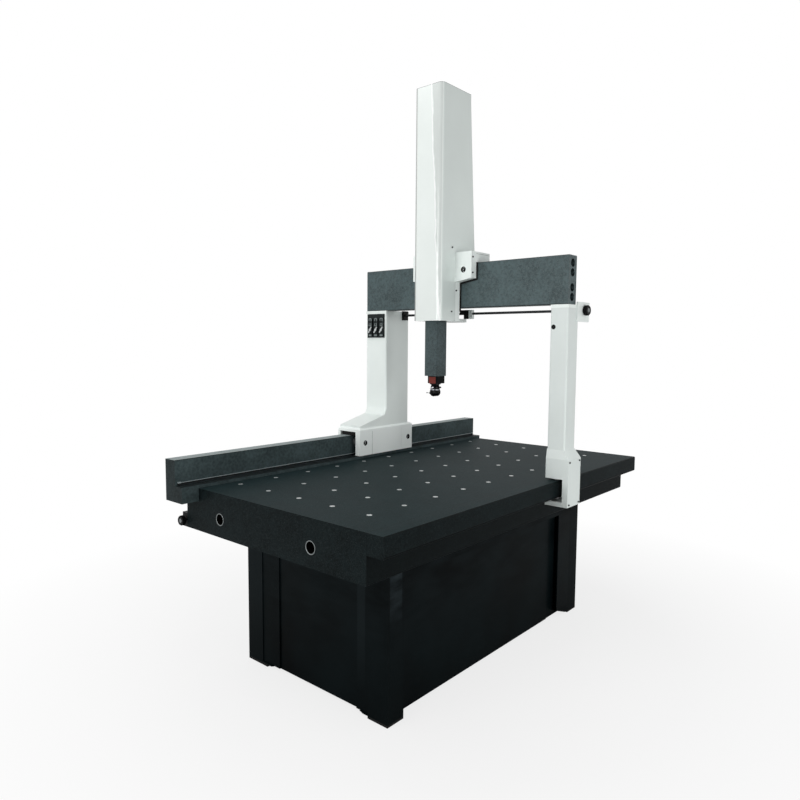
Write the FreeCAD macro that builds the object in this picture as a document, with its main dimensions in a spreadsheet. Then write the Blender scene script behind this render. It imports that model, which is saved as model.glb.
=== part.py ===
import FreeCAD, Part
import math
import os
import re

import Sketcher

# Bridge measuring machine. Millimetres, +Z up, +X to the right and +Y to the rear as the operator
# stands in front. The origin lies on the floor under the middle of the machine's box.

os.makedirs("parts", exist_ok=True)
doc = FreeCAD.newDocument("measuring_machine")

sizes = {
    # steel base
    "base_width": 885, "base_length": 1603, "base_left_inset": 98, "base_front_inset": 253,
    "floor_pad_height": 10, "left_pad_width": 139, "right_pad_width": 107, "foot_height": 38,
    "gusset_slope": 0.37, "post_width": 106, "post_depth": 96, "post_wall": 6,
    "end_rail_clearance": 17, "end_rail_height": 60, "end_rail_depth": 40,
    "sill_height": 60, "sill_width": 35, "sill_setback": 30, "upper_frame_height": 60,
    "cross_beam_width": 96, "side_beam_width": 100, "frame_setback": 4, "frame_plate": 6,
    "left_band_width": 117, "right_band_width": 68, "band_margin": 30, "panel_plate": 4,
    "panel_lap": 12, "side_panel_length": 1214, "side_gap": 69, "side_panel_setback": 30,
    "strip_plate": 6, "middle_post_width": 40, "middle_post_lap": 12,
    # granite table
    "table_height": 860, "table_width": 1189, "table_length": 2138, "table_thickness": 190,
    "ledge_width": 79, "ledge_thickness": 80, "rebate_width": 96, "rebate_depth": 58,
    "table_arris": 4, "jack_height": 30, "jack_radius": 32, "jack_flange": 8, "jack_stem_radius": 15,
    "jack_setback": 240,
    "insert_pitch": 200, "insert_columns": 5, "insert_rows": 10, "insert_left_margin": 62,
    "insert_front_margin": 174, "insert_flats": 20, "insert_depth": 25, "insert_bore": 3.4,
    "insert_bore_depth": 20, "insert_fit": 0.05,
    "lift_bush_radius": 27, "lift_bore_radius": 23, "lift_bush_depth": 110,
    "lift_drop": 112, "lift_left": 251, "lift_span": 574,
    # guide rail on the left
    "rail_length": 2260, "rail_front_overhang": 82, "rail_overhang": 34, "rail_thickness": 74,
    "rail_base_width": 127, "rail_step": 14, "rail_height": 127, "rail_arris": 2,
    "rail_bolt_pitch": 500, "rail_bolt_count": 5, "rail_bolt_radius": 9, "rail_bolt_head": 12,
    "counterbore_gap": 1.5, "scale_thickness": 2, "scale_width": 11, "scale_lift": 2,
    "scale_end_margin": 12, "clamp_length": 14, "clamp_height": 14, "clamp_thickness": 8,
    # long fine feed beside the table
    "long_rod_radius": 6, "long_rod_offset": 26, "long_rod_drop": 163, "long_knob_radius": 22.5,
    "long_knob_length": 20, "knob_edge": 2, "knob_gap": 2, "rod_fit": 0.05, "long_bearing_width": 54,
    "long_bearing_height": 64, "long_bearing_depth": 25, "long_bearing_inset": 9, "rod_loose": 0.4,
    # left saddle
    "saddle_station": 994, "saddle_length": 442, "saddle_wall": 18, "outer_pad_gap": 12,
    "inner_pad_gap": 33, "saddle_block": 35, "saddle_clearance": 18, "saddle_height": 170,
    "saddle_plate": 22, "saddle_bevel": 10, "front_block_length": 98, "rear_block_length": 92,
    "side_cover_plate": 3, "cover_gap": 1, "pad_radius": 30, "pad_thickness": 10, "stud_radius": 10,
    "running_gap": 0.3, "pad_inset": 43, "rear_pad_inset": 35, "pad_level": 69, "adjuster_radius": 12.5,
    "adjuster_depth": 8, "adjuster_screw_radius": 7, "adjuster_screw": 5, "arm_length": 60,
    "arm_station": 200, "arm_clamp_height": 40, "arm_clamp_reach": 34,
    # bridge
    "beam_setback": 220, "leg_inset_left": 7, "left_leg_width": 155, "left_leg_depth": 198,
    "leg_rise": 636, "leg_toe": 208, "leg_toe_height": 10, "leg_slope_top": 58, "leg_slope_back": 18,
    "leg_knee": 28, "leg_round": 10, "leg_blend": 60, "top_plate": 15, "beam_inset": 14,
    "beam_end_setback": 4, "beam_depth": 78, "beam_height": 224, "beam_arris": 3,
    "beam_bore_radius": 19, "beam_bore_depth": 220, "beam_bore_near": 34, "beam_bore_far": 78,
    "right_leg_width": 90, "right_leg_depth": 102, "leg_inset": 24, "right_leg_round": 8,
    "plug_radius": 10, "plug_side": 17, "plug_drop": 88, "plug_depth": 6,
    "ledge_pad_gap": 22, "hook_wall": 28, "foot_width": 115, "foot_depth": 126,
    "foot_front_lap": 6, "foot_clearance": 10, "foot_shoulder": 104, "foot_neck": 147,
    "hook_drop": 120, "lip_thickness": 22, "foot_pad_pocket": 15,
    # air valves
    "valve_panel_width": 128, "valve_panel_height": 134, "valve_panel_plate": 6,
    "valve_panel_inset": 15, "valve_panel_drop": 3, "valve_pitch": 43, "valve_first": 30,
    "valve_block_width": 24, "valve_block_height": 84, "valve_block_depth": 9,
    "valve_block_drop": 30, "gauge_radius": 9, "gauge_length": 4, "gauge_drop": 15,
    "lever_drop": 60, "lever_pin_radius": 3, "lever_pin_depth": 7, "lever_hub_radius": 7,
    "lever_hub_length": 5, "lever_length": 40, "lever_width": 7, "lever_thickness": 4,
    "lever_angle": 35, "pin_fit": 0.05,
    # fine feed across the machine
    "cross_rod_radius": 6.5, "cross_rod_back": 72, "cross_rod_drop": 23, "cross_knob_radius": 24.5,
    "knob_length": 21, "bracket_thickness": 6, "bracket_width": 122, "bracket_height": 92,
    "bracket_lift": 15, "cross_bearing_length": 13, "cross_bearing_width": 41, "cross_bearing_front": 14,
    "cross_bearing_height": 52, "cross_bearing_lift": 27, "rod_end_gap": 5,
    # carriage on the beam
    "carriage_station": 570, "carriage_width": 376, "plate_gap": 4, "plate_thickness": 41,
    "wing_height": 132, "wing_fall": 17, "column_width": 176, "column_drop": 69,
    "top_pad_gap": 21, "carriage_plate": 32, "skirt_plate": 5, "skirt_gap": 1,
    "rear_pad_gap": 14, "rear_plate": 23,
    "rear_plate_height": 106, "wing_pad_inset": 31, "wing_pad_drop": 65, "low_pad_rise": 98,
    "front_pad_radius": 28, "front_pad_sink": 10, "carriage_adjuster_inset": 50,
    "carriage_adjuster_drop": 89, "ram_pocket_width": 96, "ram_pocket_depth": 12,
    "lower_plate_width": 108, "lower_plate_reach": 160, "lower_plate": 18,
    "clamp_width": 31, "clamp_depth": 22, "clamp_rise": 48, "clamp_shift": 102,
    "clamp_bracket": 21, "clamp_wing": 27, "clamp_wing_rise": 24,
    # column covers
    "column_height": 1148, "column_front_depth": 123, "column_round": 25, "cover_wall": 4,
    "cap_height": 38, "cover_floor": 5, "rear_cover_depth": 170,
    "rear_cover_top_depth": 117, "ram_hole_gap": 3,
    # ram, its bearings and its counterbalance
    "ram_size": 81, "ram_gap": 0.5, "ram_length": 980, "ram_drop": 281, "ram_arris": 3,
    "ram_bore_radius": 22, "ram_floor": 20, "ram_pad_radius": 20, "ram_pad_gap": 15,
    "bearing_side_wall": 20, "bearing_front_wall": 16, "bearing_height": 70, "low_bearing_rise": 13,
    "high_bearing_rise": 258, "piston_length": 30, "piston_rise": 98,
    "piston_fit": 0.3, "piston_rod_radius": 7, "hanger_plate": 12, "hanger_depth": 110,
    "seal_cap_size": 66, "seal_cap_height": 12, "seal_gap": 0.4, "ram_scale_width": 8,
    "ram_scale_plate": 1, "ram_scale_margin": 4, "read_head_length": 30, "read_head_width": 14,
    "read_head_gap": 1.5, "read_head_rise": 150, "cross_scale_drop": 78,
    # probe
    "mount_width": 64, "mount_left": 26, "mount_depth": 58, "mount_height": 38, "red_width": 43,
    "head_radius": 30, "head_collar": 10, "fork_gap": 0.5, "fork_cheek": 9, "fork_drop": 36,
    "fork_width": 34, "knuckle_radius": 19, "knuckle_length": 36, "swivel_pin_radius": 8,
    "swivel_pin_length": 12, "tilt_pin_radius": 4, "barrel_radius": 9, "barrel_length": 15,
    "stylus_radius": 2, "stylus_length": 22, "ball_radius": 2.5, "stylus_drop": 6,
    # cap screws
    "screw_radius": 4, "screw_head": 4, "screw_inset": 14, "screw_lift": 12, "column_screw_inset": 28,
    "low_screw_rise": 48, "high_screw_rise": 22, "wing_screw_inset": 9, "wing_screw_high": 29,
    "wing_screw_low": 106, "tongue_screw_rise": 155,
}

places = {
    "overall_width": "saddle_wall + outer_pad_gap + rail_overhang + table_width + ledge_pad_gap"
                     " + hook_wall - leg_inset + bracket_thickness + knob_gap + knob_length",
    "saddle_x": "-overall_width / 2",
    "rail_x": "saddle_x + saddle_wall + outer_pad_gap",
    "rail_face_x": "rail_x + rail_thickness",
    "table_x": "rail_x + rail_overhang",
    "table_right_x": "table_x + table_width",
    "rail_y": "-rail_length / 2",
    "table_y": "rail_y + rail_front_overhang",
    "table_bottom": "table_height - table_thickness",
    "rebate_z": "table_height - rebate_depth",
    "rail_top_z": "table_height + rail_height",
    "base_x": "table_x + base_left_inset",
    "base_right_x": "base_x + base_width",
    "base_y": "table_y + base_front_inset",
    "base_rear_y": "base_y + base_length",
    "base_top": "table_bottom - jack_height",
    "upper_frame_z": "base_top - upper_frame_height",
    "post_z": "floor_pad_height + foot_height",
    "insert_x": "table_x + rebate_width + insert_left_margin",
    "insert_y": "table_y + insert_front_margin",
    "long_rod_x": "table_x - long_rod_offset",
    "long_rod_z": "table_height - long_rod_drop",
    "saddle_y": "table_y + saddle_station",
    "saddle_z": "table_height + saddle_clearance",
    "saddle_top": "table_height + saddle_height",
    "saddle_under": "saddle_top - saddle_plate",
    "saddle_inner_x": "rail_face_x + inner_pad_gap",
    "saddle_right_x": "saddle_inner_x + saddle_block",
    "saddle_width": "saddle_right_x - saddle_x",
    "wall_height": "saddle_under - saddle_z",
    "pad_z": "saddle_z + pad_level",
    "front_pad_y": "saddle_y + pad_inset",
    "rear_pad_y": "saddle_y + saddle_length - rear_pad_inset",
    "beam_y": "saddle_y + beam_setback",
    "beam_rear_y": "beam_y + beam_depth",
    "beam_x": "saddle_x + beam_inset",
    "leg_x": "saddle_x + leg_inset_left",
    "leg_right_x": "leg_x + left_leg_width",
    "leg_top": "saddle_top + leg_rise",
    "beam_z": "leg_top + top_plate",
    "foot_right_x": "table_right_x + ledge_pad_gap + hook_wall",
    "foot_x": "foot_right_x - foot_width",
    "foot_y": "beam_y - foot_front_lap",
    "right_leg_right_x": "foot_right_x - leg_inset",
    "right_leg_x": "right_leg_right_x - right_leg_width",
    "beam_length": "right_leg_right_x - beam_end_setback - beam_x",
    "right_leg_rise": "leg_top - table_height - foot_neck",
    "cross_rod_y": "beam_rear_y + cross_rod_back",
    "cross_rod_z": "beam_z - cross_rod_drop",
    "cross_rod_end_x": "right_leg_right_x + bracket_thickness + knob_gap",
    "carriage_mid_x": "beam_x + carriage_station",
    "carriage_x": "carriage_mid_x - carriage_width / 2",
    "column_x": "carriage_mid_x - column_width / 2",
    "plate_y": "beam_y - plate_gap - plate_thickness",
    "plate_rear_y": "beam_y - plate_gap",
    "column_y": "plate_y - column_front_depth",
    "column_z": "beam_z - column_drop",
    "carriage_plate_z": "beam_z + beam_height + top_pad_gap",
    "carriage_top": "carriage_plate_z + carriage_plate",
    "rear_plate_y": "beam_rear_y + rear_pad_gap",
    "column_top": "column_z + column_height",
    "cap_z": "column_top - cap_height",
    "ram_x": "carriage_mid_x - ram_size / 2",
    "ram_y": "plate_y - ram_gap - ram_size",
    "ram_mid_y": "ram_y + ram_size / 2",
    "ram_z": "column_z - ram_drop",
    "ram_top": "ram_z + ram_length",
    "piston_z": "column_z + piston_rise",
    "hanger_z": "cap_z - hanger_plate",
    "mount_x": "carriage_mid_x - mount_left",
    "mount_z": "ram_z - mount_height",
    "tilt_z": "mount_z - head_collar - fork_drop",
    "lever_z": "leg_top - valve_panel_drop - lever_drop - valve_block_drop",
    "valve_x": "leg_x + valve_panel_inset + valve_first",
    "valve_y": "beam_y - valve_panel_plate",
}


def formula(text):
    """The text with the sheet's name in front of each alias."""
    def named(match):
        word = match.group(0)
        if word in sizes:
            return "Dims." + word
        return "Places." + word if word in places else word
    return re.sub(r"[a-z]\w*", named, text)


def fill_sheets():
    """The driving sizes as plain numbers, and the places worked out from them."""
    dims = doc.addObject("Spreadsheet::Sheet", "Dims")
    for row, (word, number) in enumerate(sizes.items(), start=1):
        dims.set(f"A{row}", word)
        dims.set(f"B{row}", str(number))
        dims.setAlias(f"B{row}", word)
    worked_out = doc.addObject("Spreadsheet::Sheet", "Places")
    for row, (word, text) in enumerate(places.items(), start=1):
        worked_out.set(f"A{row}", word)
        worked_out.set(f"B{row}", "=" + formula(text))
        worked_out.setAlias(f"B{row}", word)
    doc.recompute()


def bind(thing, **formulas):
    """Tie properties of a thing to the sheets."""
    for name, text in formulas.items():
        thing.setExpression(name, formula(text))
    return thing


def place(thing, x, y, z):
    """Tie a thing's place to the sheets."""
    for axis, text in zip("xyz", (x, y, z)):
        thing.setExpression(f"Placement.Base.{axis}", formula(text))
    return thing


def block(name, corner, size):
    """A rectangular block from its low corner."""
    solid = doc.addObject("Part::Box", name)
    bind(solid, Length=size[0], Width=size[1], Height=size[2])
    return place(solid, *corner)


turns = {
    "x": FreeCAD.Rotation(FreeCAD.Vector(0, 1, 0), 90),
    "y": FreeCAD.Rotation(FreeCAD.Vector(1, 0, 0), -90),
    "z": FreeCAD.Rotation(),
}


def rod(name, start, radius, length, axis):
    """A cylinder that runs from its start along the positive axis."""
    solid = doc.addObject("Part::Cylinder", name)
    bind(solid, Radius=radius, Height=length)
    solid.Placement = FreeCAD.Placement(FreeCAD.Vector(), turns[axis])
    return place(solid, *start)


def cut(name, base, tool):
    """The base less the tool."""
    solid = doc.addObject("Part::Cut", name)
    solid.Base = base
    solid.Tool = tool
    return solid


def joined(name, *members):
    """Several forms fused into one piece."""
    solid = doc.addObject("Part::MultiFuse", name)
    solid.Shapes = list(members)
    solid.Refine = True
    return solid


def group(name, members):
    """Separate pieces kept together in one node."""
    bundle = doc.addObject("Part::Compound", name)
    bundle.Links = list(members)
    return bundle


def mirrored(name, source, axis):
    """A mirror image of a piece across the plane that the axis is square to."""
    image = doc.addObject("Part::Mirroring", name)
    image.Source = source
    image.Normal = FreeCAD.Vector(axis == "x", axis == "y", axis == "z")
    return image


def body(name, x, y, z):
    """An empty body placed by its own corner."""
    return place(doc.addObject("PartDesign::Body", name), x, y, z)


def sketch(owner, name, role, offset="0"):
    """A sketch on one of the body's origin planes, shifted along the plane's normal."""
    drawing = owner.newObject("Sketcher::SketchObject", name)
    plane = [f for f in owner.Origin.OriginFeatures if f.Role == role][0]
    drawing.AttachmentSupport = [(plane, "")]
    drawing.MapMode = "FlatFace"
    drawing.setExpression("AttachmentOffset.Base.z", formula(offset))
    return drawing


def outline(drawing, points):
    """A closed outline of straight lines with each corner tied to the sheets."""
    count = len(points)
    first = drawing.GeometryCount
    start = [(math.cos(2 * math.pi * i / count), math.sin(2 * math.pi * i / count)) for i in range(count)]
    for i in range(count):
        ends = [FreeCAD.Vector(*start[k % count], 0) for k in (i, i + 1)]
        drawing.addGeometry(Part.LineSegment(*ends), False)
    for i in range(count):
        drawing.addConstraint(Sketcher.Constraint("Coincident", first + i, 2, first + (i + 1) % count, 1))
    for i, texts in enumerate(points):
        for kind, text, number in zip(("DistanceX", "DistanceY"), texts, start[i]):
            index = drawing.addConstraint(Sketcher.Constraint(kind, -1, 1, first + i, 1, number))
            drawing.setExpression(f"Constraints[{index}]", formula(text))


def rectangle(drawing, low, high):
    """A rectangle between two corners."""
    outline(drawing, [low, (high[0], low[1]), high, (low[0], high[1])])


def circle(drawing, centre, radius):
    """A circle with its centre and radius tied to the sheets."""
    index = drawing.addGeometry(Part.Circle(FreeCAD.Vector(1, 1, 0), FreeCAD.Vector(0, 0, 1), 1), False)
    for kind, text in zip(("DistanceX", "DistanceY"), centre):
        tie = drawing.addConstraint(Sketcher.Constraint(kind, -1, 1, index, 3, 1.0))
        drawing.setExpression(f"Constraints[{tie}]", formula(text))
    tie = drawing.addConstraint(Sketcher.Constraint("Radius", index, 1.0))
    drawing.setExpression(f"Constraints[{tie}]", formula(radius))


def pad(owner, drawing, length, reverse=False):
    """Material added from a sketch along its plane's normal, or against it."""
    feature = owner.newObject("PartDesign::Pad", "Pad")
    feature.Profile = drawing
    feature.Reversed = reverse
    bind(feature, Length=length)
    doc.recompute()
    return feature


def pocket(owner, drawing, length, reverse=False):
    """Material taken away from a sketch. It must make the body smaller."""
    before = owner.Shape.Volume
    feature = owner.newObject("PartDesign::Pocket", "Pocket")
    feature.Profile = drawing
    feature.Reversed = reverse
    bind(feature, Length=length)
    doc.recompute()
    if owner.Shape.Volume >= before:
        raise RuntimeError(owner.Name + ": a pocket cuts nothing")
    return feature


def edges_where(owner, wanted):
    """Names of the body's straight edges that pass a test on their middle and direction."""
    names = []
    for number, edge in enumerate(owner.Shape.Edges, start=1):
        if edge.Curve.TypeId == "Part::GeomLine":
            middle = (edge.Vertexes[0].Point + edge.Vertexes[-1].Point) * 0.5 - owner.Placement.Base
            run = (edge.Vertexes[-1].Point - edge.Vertexes[0].Point).normalize()
            if wanted(middle, run):
                names.append(f"Edge{number}")
    return names


def ease(owner, kind, size, wanted):
    """A fillet or chamfer on the edges that pass a test."""
    chosen = (owner.Tip, edges_where(owner, wanted))
    feature = owner.newObject("PartDesign::" + kind, kind)
    feature.Base = chosen
    bind(feature, **{"Radius" if kind == "Fillet" else "Size": size})
    doc.recompute()
    return feature


def sheet_value(word):
    """A size or place as a number."""
    return doc.getObject("Dims" if word in sizes else "Places").get(word)


def beside(number, word, slack=0.5):
    """True where a coordinate lies at the named distance."""
    return abs(number - sheet_value(word)) < slack


def foot(name, pad_width, gusset):
    """A foot at the origin: its toe slopes under the end rail, a rear one also has a gusset to the sill."""
    part = body(name, "0", "0", "0")
    across = sketch(part, name + "_across", "XZ_Plane")
    low_reach = f"{pad_width} + floor_pad_height / gusset_slope"
    rail_reach = f"{pad_width} + end_rail_clearance / gusset_slope"
    outline(across, [("0", "0"), (low_reach, "0"),
                     (rail_reach, "end_rail_clearance - floor_pad_height"),
                     ("post_width", "end_rail_clearance - floor_pad_height"),
                     ("post_width", "foot_height"), ("0", "foot_height")])
    pad(part, across, "post_depth", reverse=True)
    if gusset:
        along = sketch(part, name + "_along", "YZ_Plane")
        outline(along, [("0", "0"), ("post_depth + floor_pad_height / gusset_slope", "0"),
                        ("post_depth + post_z / gusset_slope", "foot_height"), ("0", "foot_height")])
        pad(part, along, "sill_setback")
    return part


def base_feet():
    """Four feet, each made at the origin and mirrored to its own corner."""
    feet = []
    for x, width in (("base_x", "left_pad_width"), ("base_right_x", "right_pad_width")):
        for y in ("base_y", "base_rear_y"):
            name = f"foot_{len(feet) + 1}"
            image = foot(name, width, y == "base_rear_y")
            if x == "base_right_x":
                image = mirrored(name + "_in_x", image, "x")
            if y == "base_rear_y":
                image = mirrored(name + "_in_y", image, "y")
            feet.append(place(image, x, y, "floor_pad_height"))
    return group("base_feet", feet)


def corners(x_pair, y_pair):
    """The four corner places from two X and two Y formulas."""
    return [(x, y) for x in x_pair for y in y_pair]


def floor_pads():
    """Four rubber pads on the floor."""
    pads = []
    for x, width in (("base_x", "left_pad_width"), ("base_right_x - right_pad_width", "right_pad_width")):
        for y in ("base_y", "base_rear_y - post_depth"):
            pads.append(block("floor_pad", (x, y, "0"), (width, "post_depth", "floor_pad_height")))
    return group("floor_pads", pads)


def base_posts():
    """Four square tubes that stand on the feet."""
    tubes = []
    for x, y in corners(("base_x", "base_right_x - post_width"), ("base_y", "base_rear_y - post_depth")):
        rise = "upper_frame_z - post_z"
        outer = block("post_skin", (x, y, "post_z"), ("post_width", "post_depth", rise))
        inner = block("post_core", (f"{x} + post_wall", f"{y} + post_wall", "post_z"),
                      ("post_width - 2 * post_wall", "post_depth - 2 * post_wall", rise))
        tubes.append(cut("post", outer, inner))
    return group("base_posts", tubes)


def lower_frame():
    """End rails and side sills low between the posts."""
    inner_x = "base_x + post_width"
    span = "base_width - 2 * post_width"
    bars = []
    setback = "frame_setback + frame_plate + panel_plate"
    for y in (f"base_y + {setback}", f"base_rear_y - ({setback}) - end_rail_depth"):
        bars.append(block("end_rail", (inner_x, y, "end_rail_clearance"),
                          (span, "end_rail_depth", "end_rail_height")))
    for x in ("base_x + sill_setback", "base_right_x - sill_setback - sill_width"):
        bars.append(block("sill", (x, "base_y + post_depth", "end_rail_clearance"),
                          ("sill_width", "base_length - 2 * post_depth", "sill_height")))
    return group("lower_frame", bars)


def upper_frame():
    """Two side beams and three cross beams that carry the table's jacks."""
    beams = []
    for x in ("base_x", "base_right_x - side_beam_width"):
        beams.append(block("side_beam", (x, "base_y", "upper_frame_z"),
                           ("side_beam_width", "base_length", "upper_frame_height")))
    for y in ("base_y", "base_y + (base_length - cross_beam_width) / 2", "base_rear_y - cross_beam_width"):
        beams.append(block("cross_beam", ("base_x + side_beam_width", y, "upper_frame_z"),
                           ("base_width - 2 * side_beam_width", "cross_beam_width", "upper_frame_height")))
    return group("upper_frame", beams)


def door_frame(name, y):
    """A flat frame between two posts, open at its foot."""
    part = body(name, "base_x + post_width", y, "end_rail_clearance")
    face = sketch(part, name + "_face", "XZ_Plane")
    wide = "base_width - 2 * post_width"
    right = f"{wide} - right_band_width"
    tall = "upper_frame_z - end_rail_clearance"
    outline(face, [("0", "0"), ("left_band_width", "0"), ("left_band_width", f"{tall} - band_margin"),
                   (right, f"{tall} - band_margin"), (right, "0"), (wide, "0"), (wide, tall), ("0", tall)])
    pad(part, face, "frame_plate", reverse=True)
    return part


def door_frames():
    """The front and the rear frame."""
    return group("door_frames", [door_frame("front_frame", "base_y + frame_setback"),
                                 door_frame("rear_frame", "base_rear_y - frame_setback - frame_plate")])


def base_panels():
    """Sheets behind the end frames and along both sides, in front of the gap before the rear strips."""
    x = "base_x + post_width + left_band_width - panel_lap"
    wide = "base_width - 2 * post_width - left_band_width - right_band_width + 2 * panel_lap"
    tall = "upper_frame_z - end_rail_clearance - band_margin + panel_lap"
    sheets = []
    for y in ("base_y + frame_setback + frame_plate",
              "base_rear_y - frame_setback - frame_plate - panel_plate"):
        sheets.append(block("end_panel", (x, y, "end_rail_clearance"), (wide, "panel_plate", tall)))
    for x in ("base_x + side_panel_setback - panel_plate", "base_right_x - side_panel_setback"):
        sheets.append(block("side_panel", (x, "base_y + post_depth", "end_rail_clearance"),
                            ("panel_plate", "side_panel_length", "upper_frame_z - end_rail_clearance")))
    return group("base_panels", sheets)


def side_strips():
    """Rear strips flush with the posts, and the uprights behind the open gap."""
    strip_y = "base_y + post_depth + side_panel_length + side_gap"
    pieces = []
    for x in ("base_x", "base_right_x - strip_plate"):
        pieces.append(block("side_strip", (x, strip_y, "post_z"),
                            ("strip_plate", f"base_rear_y - post_depth - ({strip_y})",
                             "upper_frame_z - post_z")))
    upright_y = "base_y + post_depth + side_panel_length - middle_post_lap"
    sill_top = "end_rail_clearance + sill_height"
    for x in ("base_x + sill_setback", "base_right_x - sill_setback - middle_post_width"):
        pieces.append(block("upright", (x, upright_y, sill_top),
                            ("middle_post_width", "side_gap + 2 * middle_post_lap",
                             f"upper_frame_z - ({sill_top})")))
    return group("side_strips", pieces)


def levelling_jacks():
    """Five jacks between the upper frame and the granite: two flanges on a stem."""
    half_post = "post_width / 2"
    spots = [("base_x + base_width / 2", "base_y + cross_beam_width / 2")]
    spots += corners((f"base_x + {half_post}", f"base_right_x - {half_post}"),
                     ("base_y + jack_setback", "base_rear_y - cross_beam_width / 2"))
    jacks = []
    for x, y in spots:
        jacks.append(joined("jack",
                            rod("jack_foot", (x, y, "base_top"), "jack_radius", "jack_flange", "z"),
                            rod("jack_stem", (x, y, "base_top"), "jack_stem_radius", "jack_height", "z"),
                            rod("jack_head", (x, y, "table_bottom - jack_flange"), "jack_radius",
                                "jack_flange", "z")))
    return group("levelling_jacks", jacks)


def hexagon(drawing, centre, flats):
    """A hexagon outline with two corners along X."""
    side = f"({flats}) / sqrt(3)"
    tall = f"({flats}) / 2"
    x, y = centre
    outline(drawing, [(f"{x} - {side}", y), (f"{x} - {side} / 2", f"{y} - {tall}"),
                      (f"{x} + {side} / 2", f"{y} - {tall}"), (f"{x} + {side}", y),
                      (f"{x} + {side} / 2", f"{y} + {tall}"), (f"{x} - {side} / 2", f"{y} + {tall}")])


def grid(owner, feature):
    """The insert grid: columns along X, then rows along Y."""
    many = owner.newObject("PartDesign::MultiTransform", "Grid")
    many.Originals = [feature]
    steps = []
    for role, count, name in (("X_Axis", "insert_columns", "Columns"), ("Y_Axis", "insert_rows", "Rows")):
        axis = [f for f in owner.Origin.OriginFeatures if f.Role == role][0]
        step = owner.newObject("PartDesign::LinearPattern", name)
        step.Direction = (axis, [""])
        bind(step, Length=f"insert_pitch * ({count} - 1)", Occurrences=count)
        steps.append(step)
    many.Transformations = steps
    owner.Tip = many
    doc.recompute()


def granite_table():
    """The granite plate: ledge on the right, rebate on the left, pockets for inserts and bushes."""
    part = body("granite_table", "table_x", "table_y", "table_bottom")
    section = sketch(part, "table_section", "XZ_Plane")
    body_width = "table_width - ledge_width"
    ledge = "table_thickness - ledge_thickness"
    rebate = "table_thickness - rebate_depth"
    outline(section, [("0", "0"), (body_width, "0"), (body_width, ledge), ("table_width", ledge),
                      ("table_width", "table_thickness"), ("rebate_width", "table_thickness"),
                      ("rebate_width", rebate), ("0", rebate)])
    pad(part, section, "table_length", reverse=True)
    arris_x = (0, sheet_value("table_width"), sheet_value("table_width") - sheet_value("ledge_width"))
    ease(part, "Chamfer", "table_arris",
         lambda middle, run: abs(run.y) > 0.99 and min(abs(middle.x - x) for x in arris_x) < 0.5
         and not (middle.z > 1 and abs(middle.x - arris_x[2]) < 0.5))
    bores = sketch(part, "lifting_bores", "XZ_Plane")
    for x in ("lift_left", "lift_left + lift_span"):
        circle(bores, (x, "table_thickness - lift_drop"), "lift_bush_radius")
    pocket(part, bores, "lift_bush_depth")
    rear = sketch(part, "rear_lifting_bores", "XZ_Plane", "-table_length")
    for x in ("lift_left", "lift_left + lift_span"):
        circle(rear, (x, "table_thickness - lift_drop"), "lift_bush_radius")
    pocket(part, rear, "lift_bush_depth", reverse=True)
    seat = sketch(part, "insert_seat", "XY_Plane", "table_thickness")
    hexagon(seat, ("rebate_width + insert_left_margin", "insert_front_margin"),
            "insert_flats + 2 * insert_fit")
    grid(part, pocket(part, seat, "insert_depth"))
    return part


def table_inserts():
    """Threaded inserts of hexagon bar, flush with the granite."""
    part = body("table_inserts", "insert_x", "insert_y", "table_height - insert_depth")
    part.AllowCompound = True
    bar = sketch(part, "insert_bar", "XY_Plane")
    hexagon(bar, ("0", "0"), "insert_flats")
    solid = pad(part, bar, "insert_depth")
    hole = sketch(part, "insert_hole", "XY_Plane", "insert_depth")
    circle(hole, ("0", "0"), "insert_bore")
    opening = pocket(part, hole, "insert_bore_depth")
    grid(part, solid)
    part.Tip.Originals = [solid, opening]
    doc.recompute()
    return part


def lifting_bushes():
    """Steel bushes in the front and rear faces of the granite."""
    bushes = []
    for y in ("table_y", "table_y + table_length - lift_bush_depth"):
        for x in ("table_x + lift_left", "table_x + lift_left + lift_span"):
            at = (x, y, "table_height - lift_drop")
            outer = rod("bush_skin", at, "lift_bush_radius", "lift_bush_depth", "y")
            bore = rod("bush_bore", at, "lift_bore_radius", "lift_bush_depth", "y")
            bushes.append(cut("bush", outer, bore))
    return group("lifting_bushes", bushes)


def guide_rail():
    """The granite rail: a thick base in the table's rebate and an upright that guides the saddle."""
    part = body("guide_rail", "rail_x", "rail_y", "rebate_z")
    section = sketch(part, "rail_section", "XZ_Plane")
    step = "rebate_depth + rail_step"
    top = "rebate_depth + rail_height"
    outline(section, [("0", "0"), ("rail_base_width", "0"), ("rail_base_width", step),
                      ("rail_thickness", step), ("rail_thickness", top), ("0", top)])
    pad(part, section, "rail_length", reverse=True)
    rise = sheet_value("rebate_depth") + sheet_value("rail_height")
    ease(part, "Chamfer", "rail_arris", lambda middle, run: abs(run.y) > 0.99 and abs(middle.z - rise) < 0.5)
    heads = sketch(part, "rail_counterbores", "XY_Plane", step)
    for number in range(int(sheet_value("rail_bolt_count"))):
        y = f"rail_length / 2 + ({number} - (rail_bolt_count - 1) / 2) * rail_bolt_pitch"
        circle(heads, ("(rail_thickness + rail_base_width) / 2", y), "rail_bolt_radius + counterbore_gap")
    pocket(part, heads, "rail_bolt_head")
    return part


def rail_bolts():
    """Cap screws in the rail's counterbores."""
    bolts = []
    for number in range(int(sheet_value("rail_bolt_count"))):
        y = f"({number} - (rail_bolt_count - 1) / 2) * rail_bolt_pitch"
        at = ("rail_x + (rail_thickness + rail_base_width) / 2", y,
              "table_height + rail_step - rail_bolt_head")
        bolts.append(rod("rail_bolt", at, "rail_bolt_radius", "rail_bolt_head", "z"))
    return group("rail_bolts", bolts)


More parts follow.
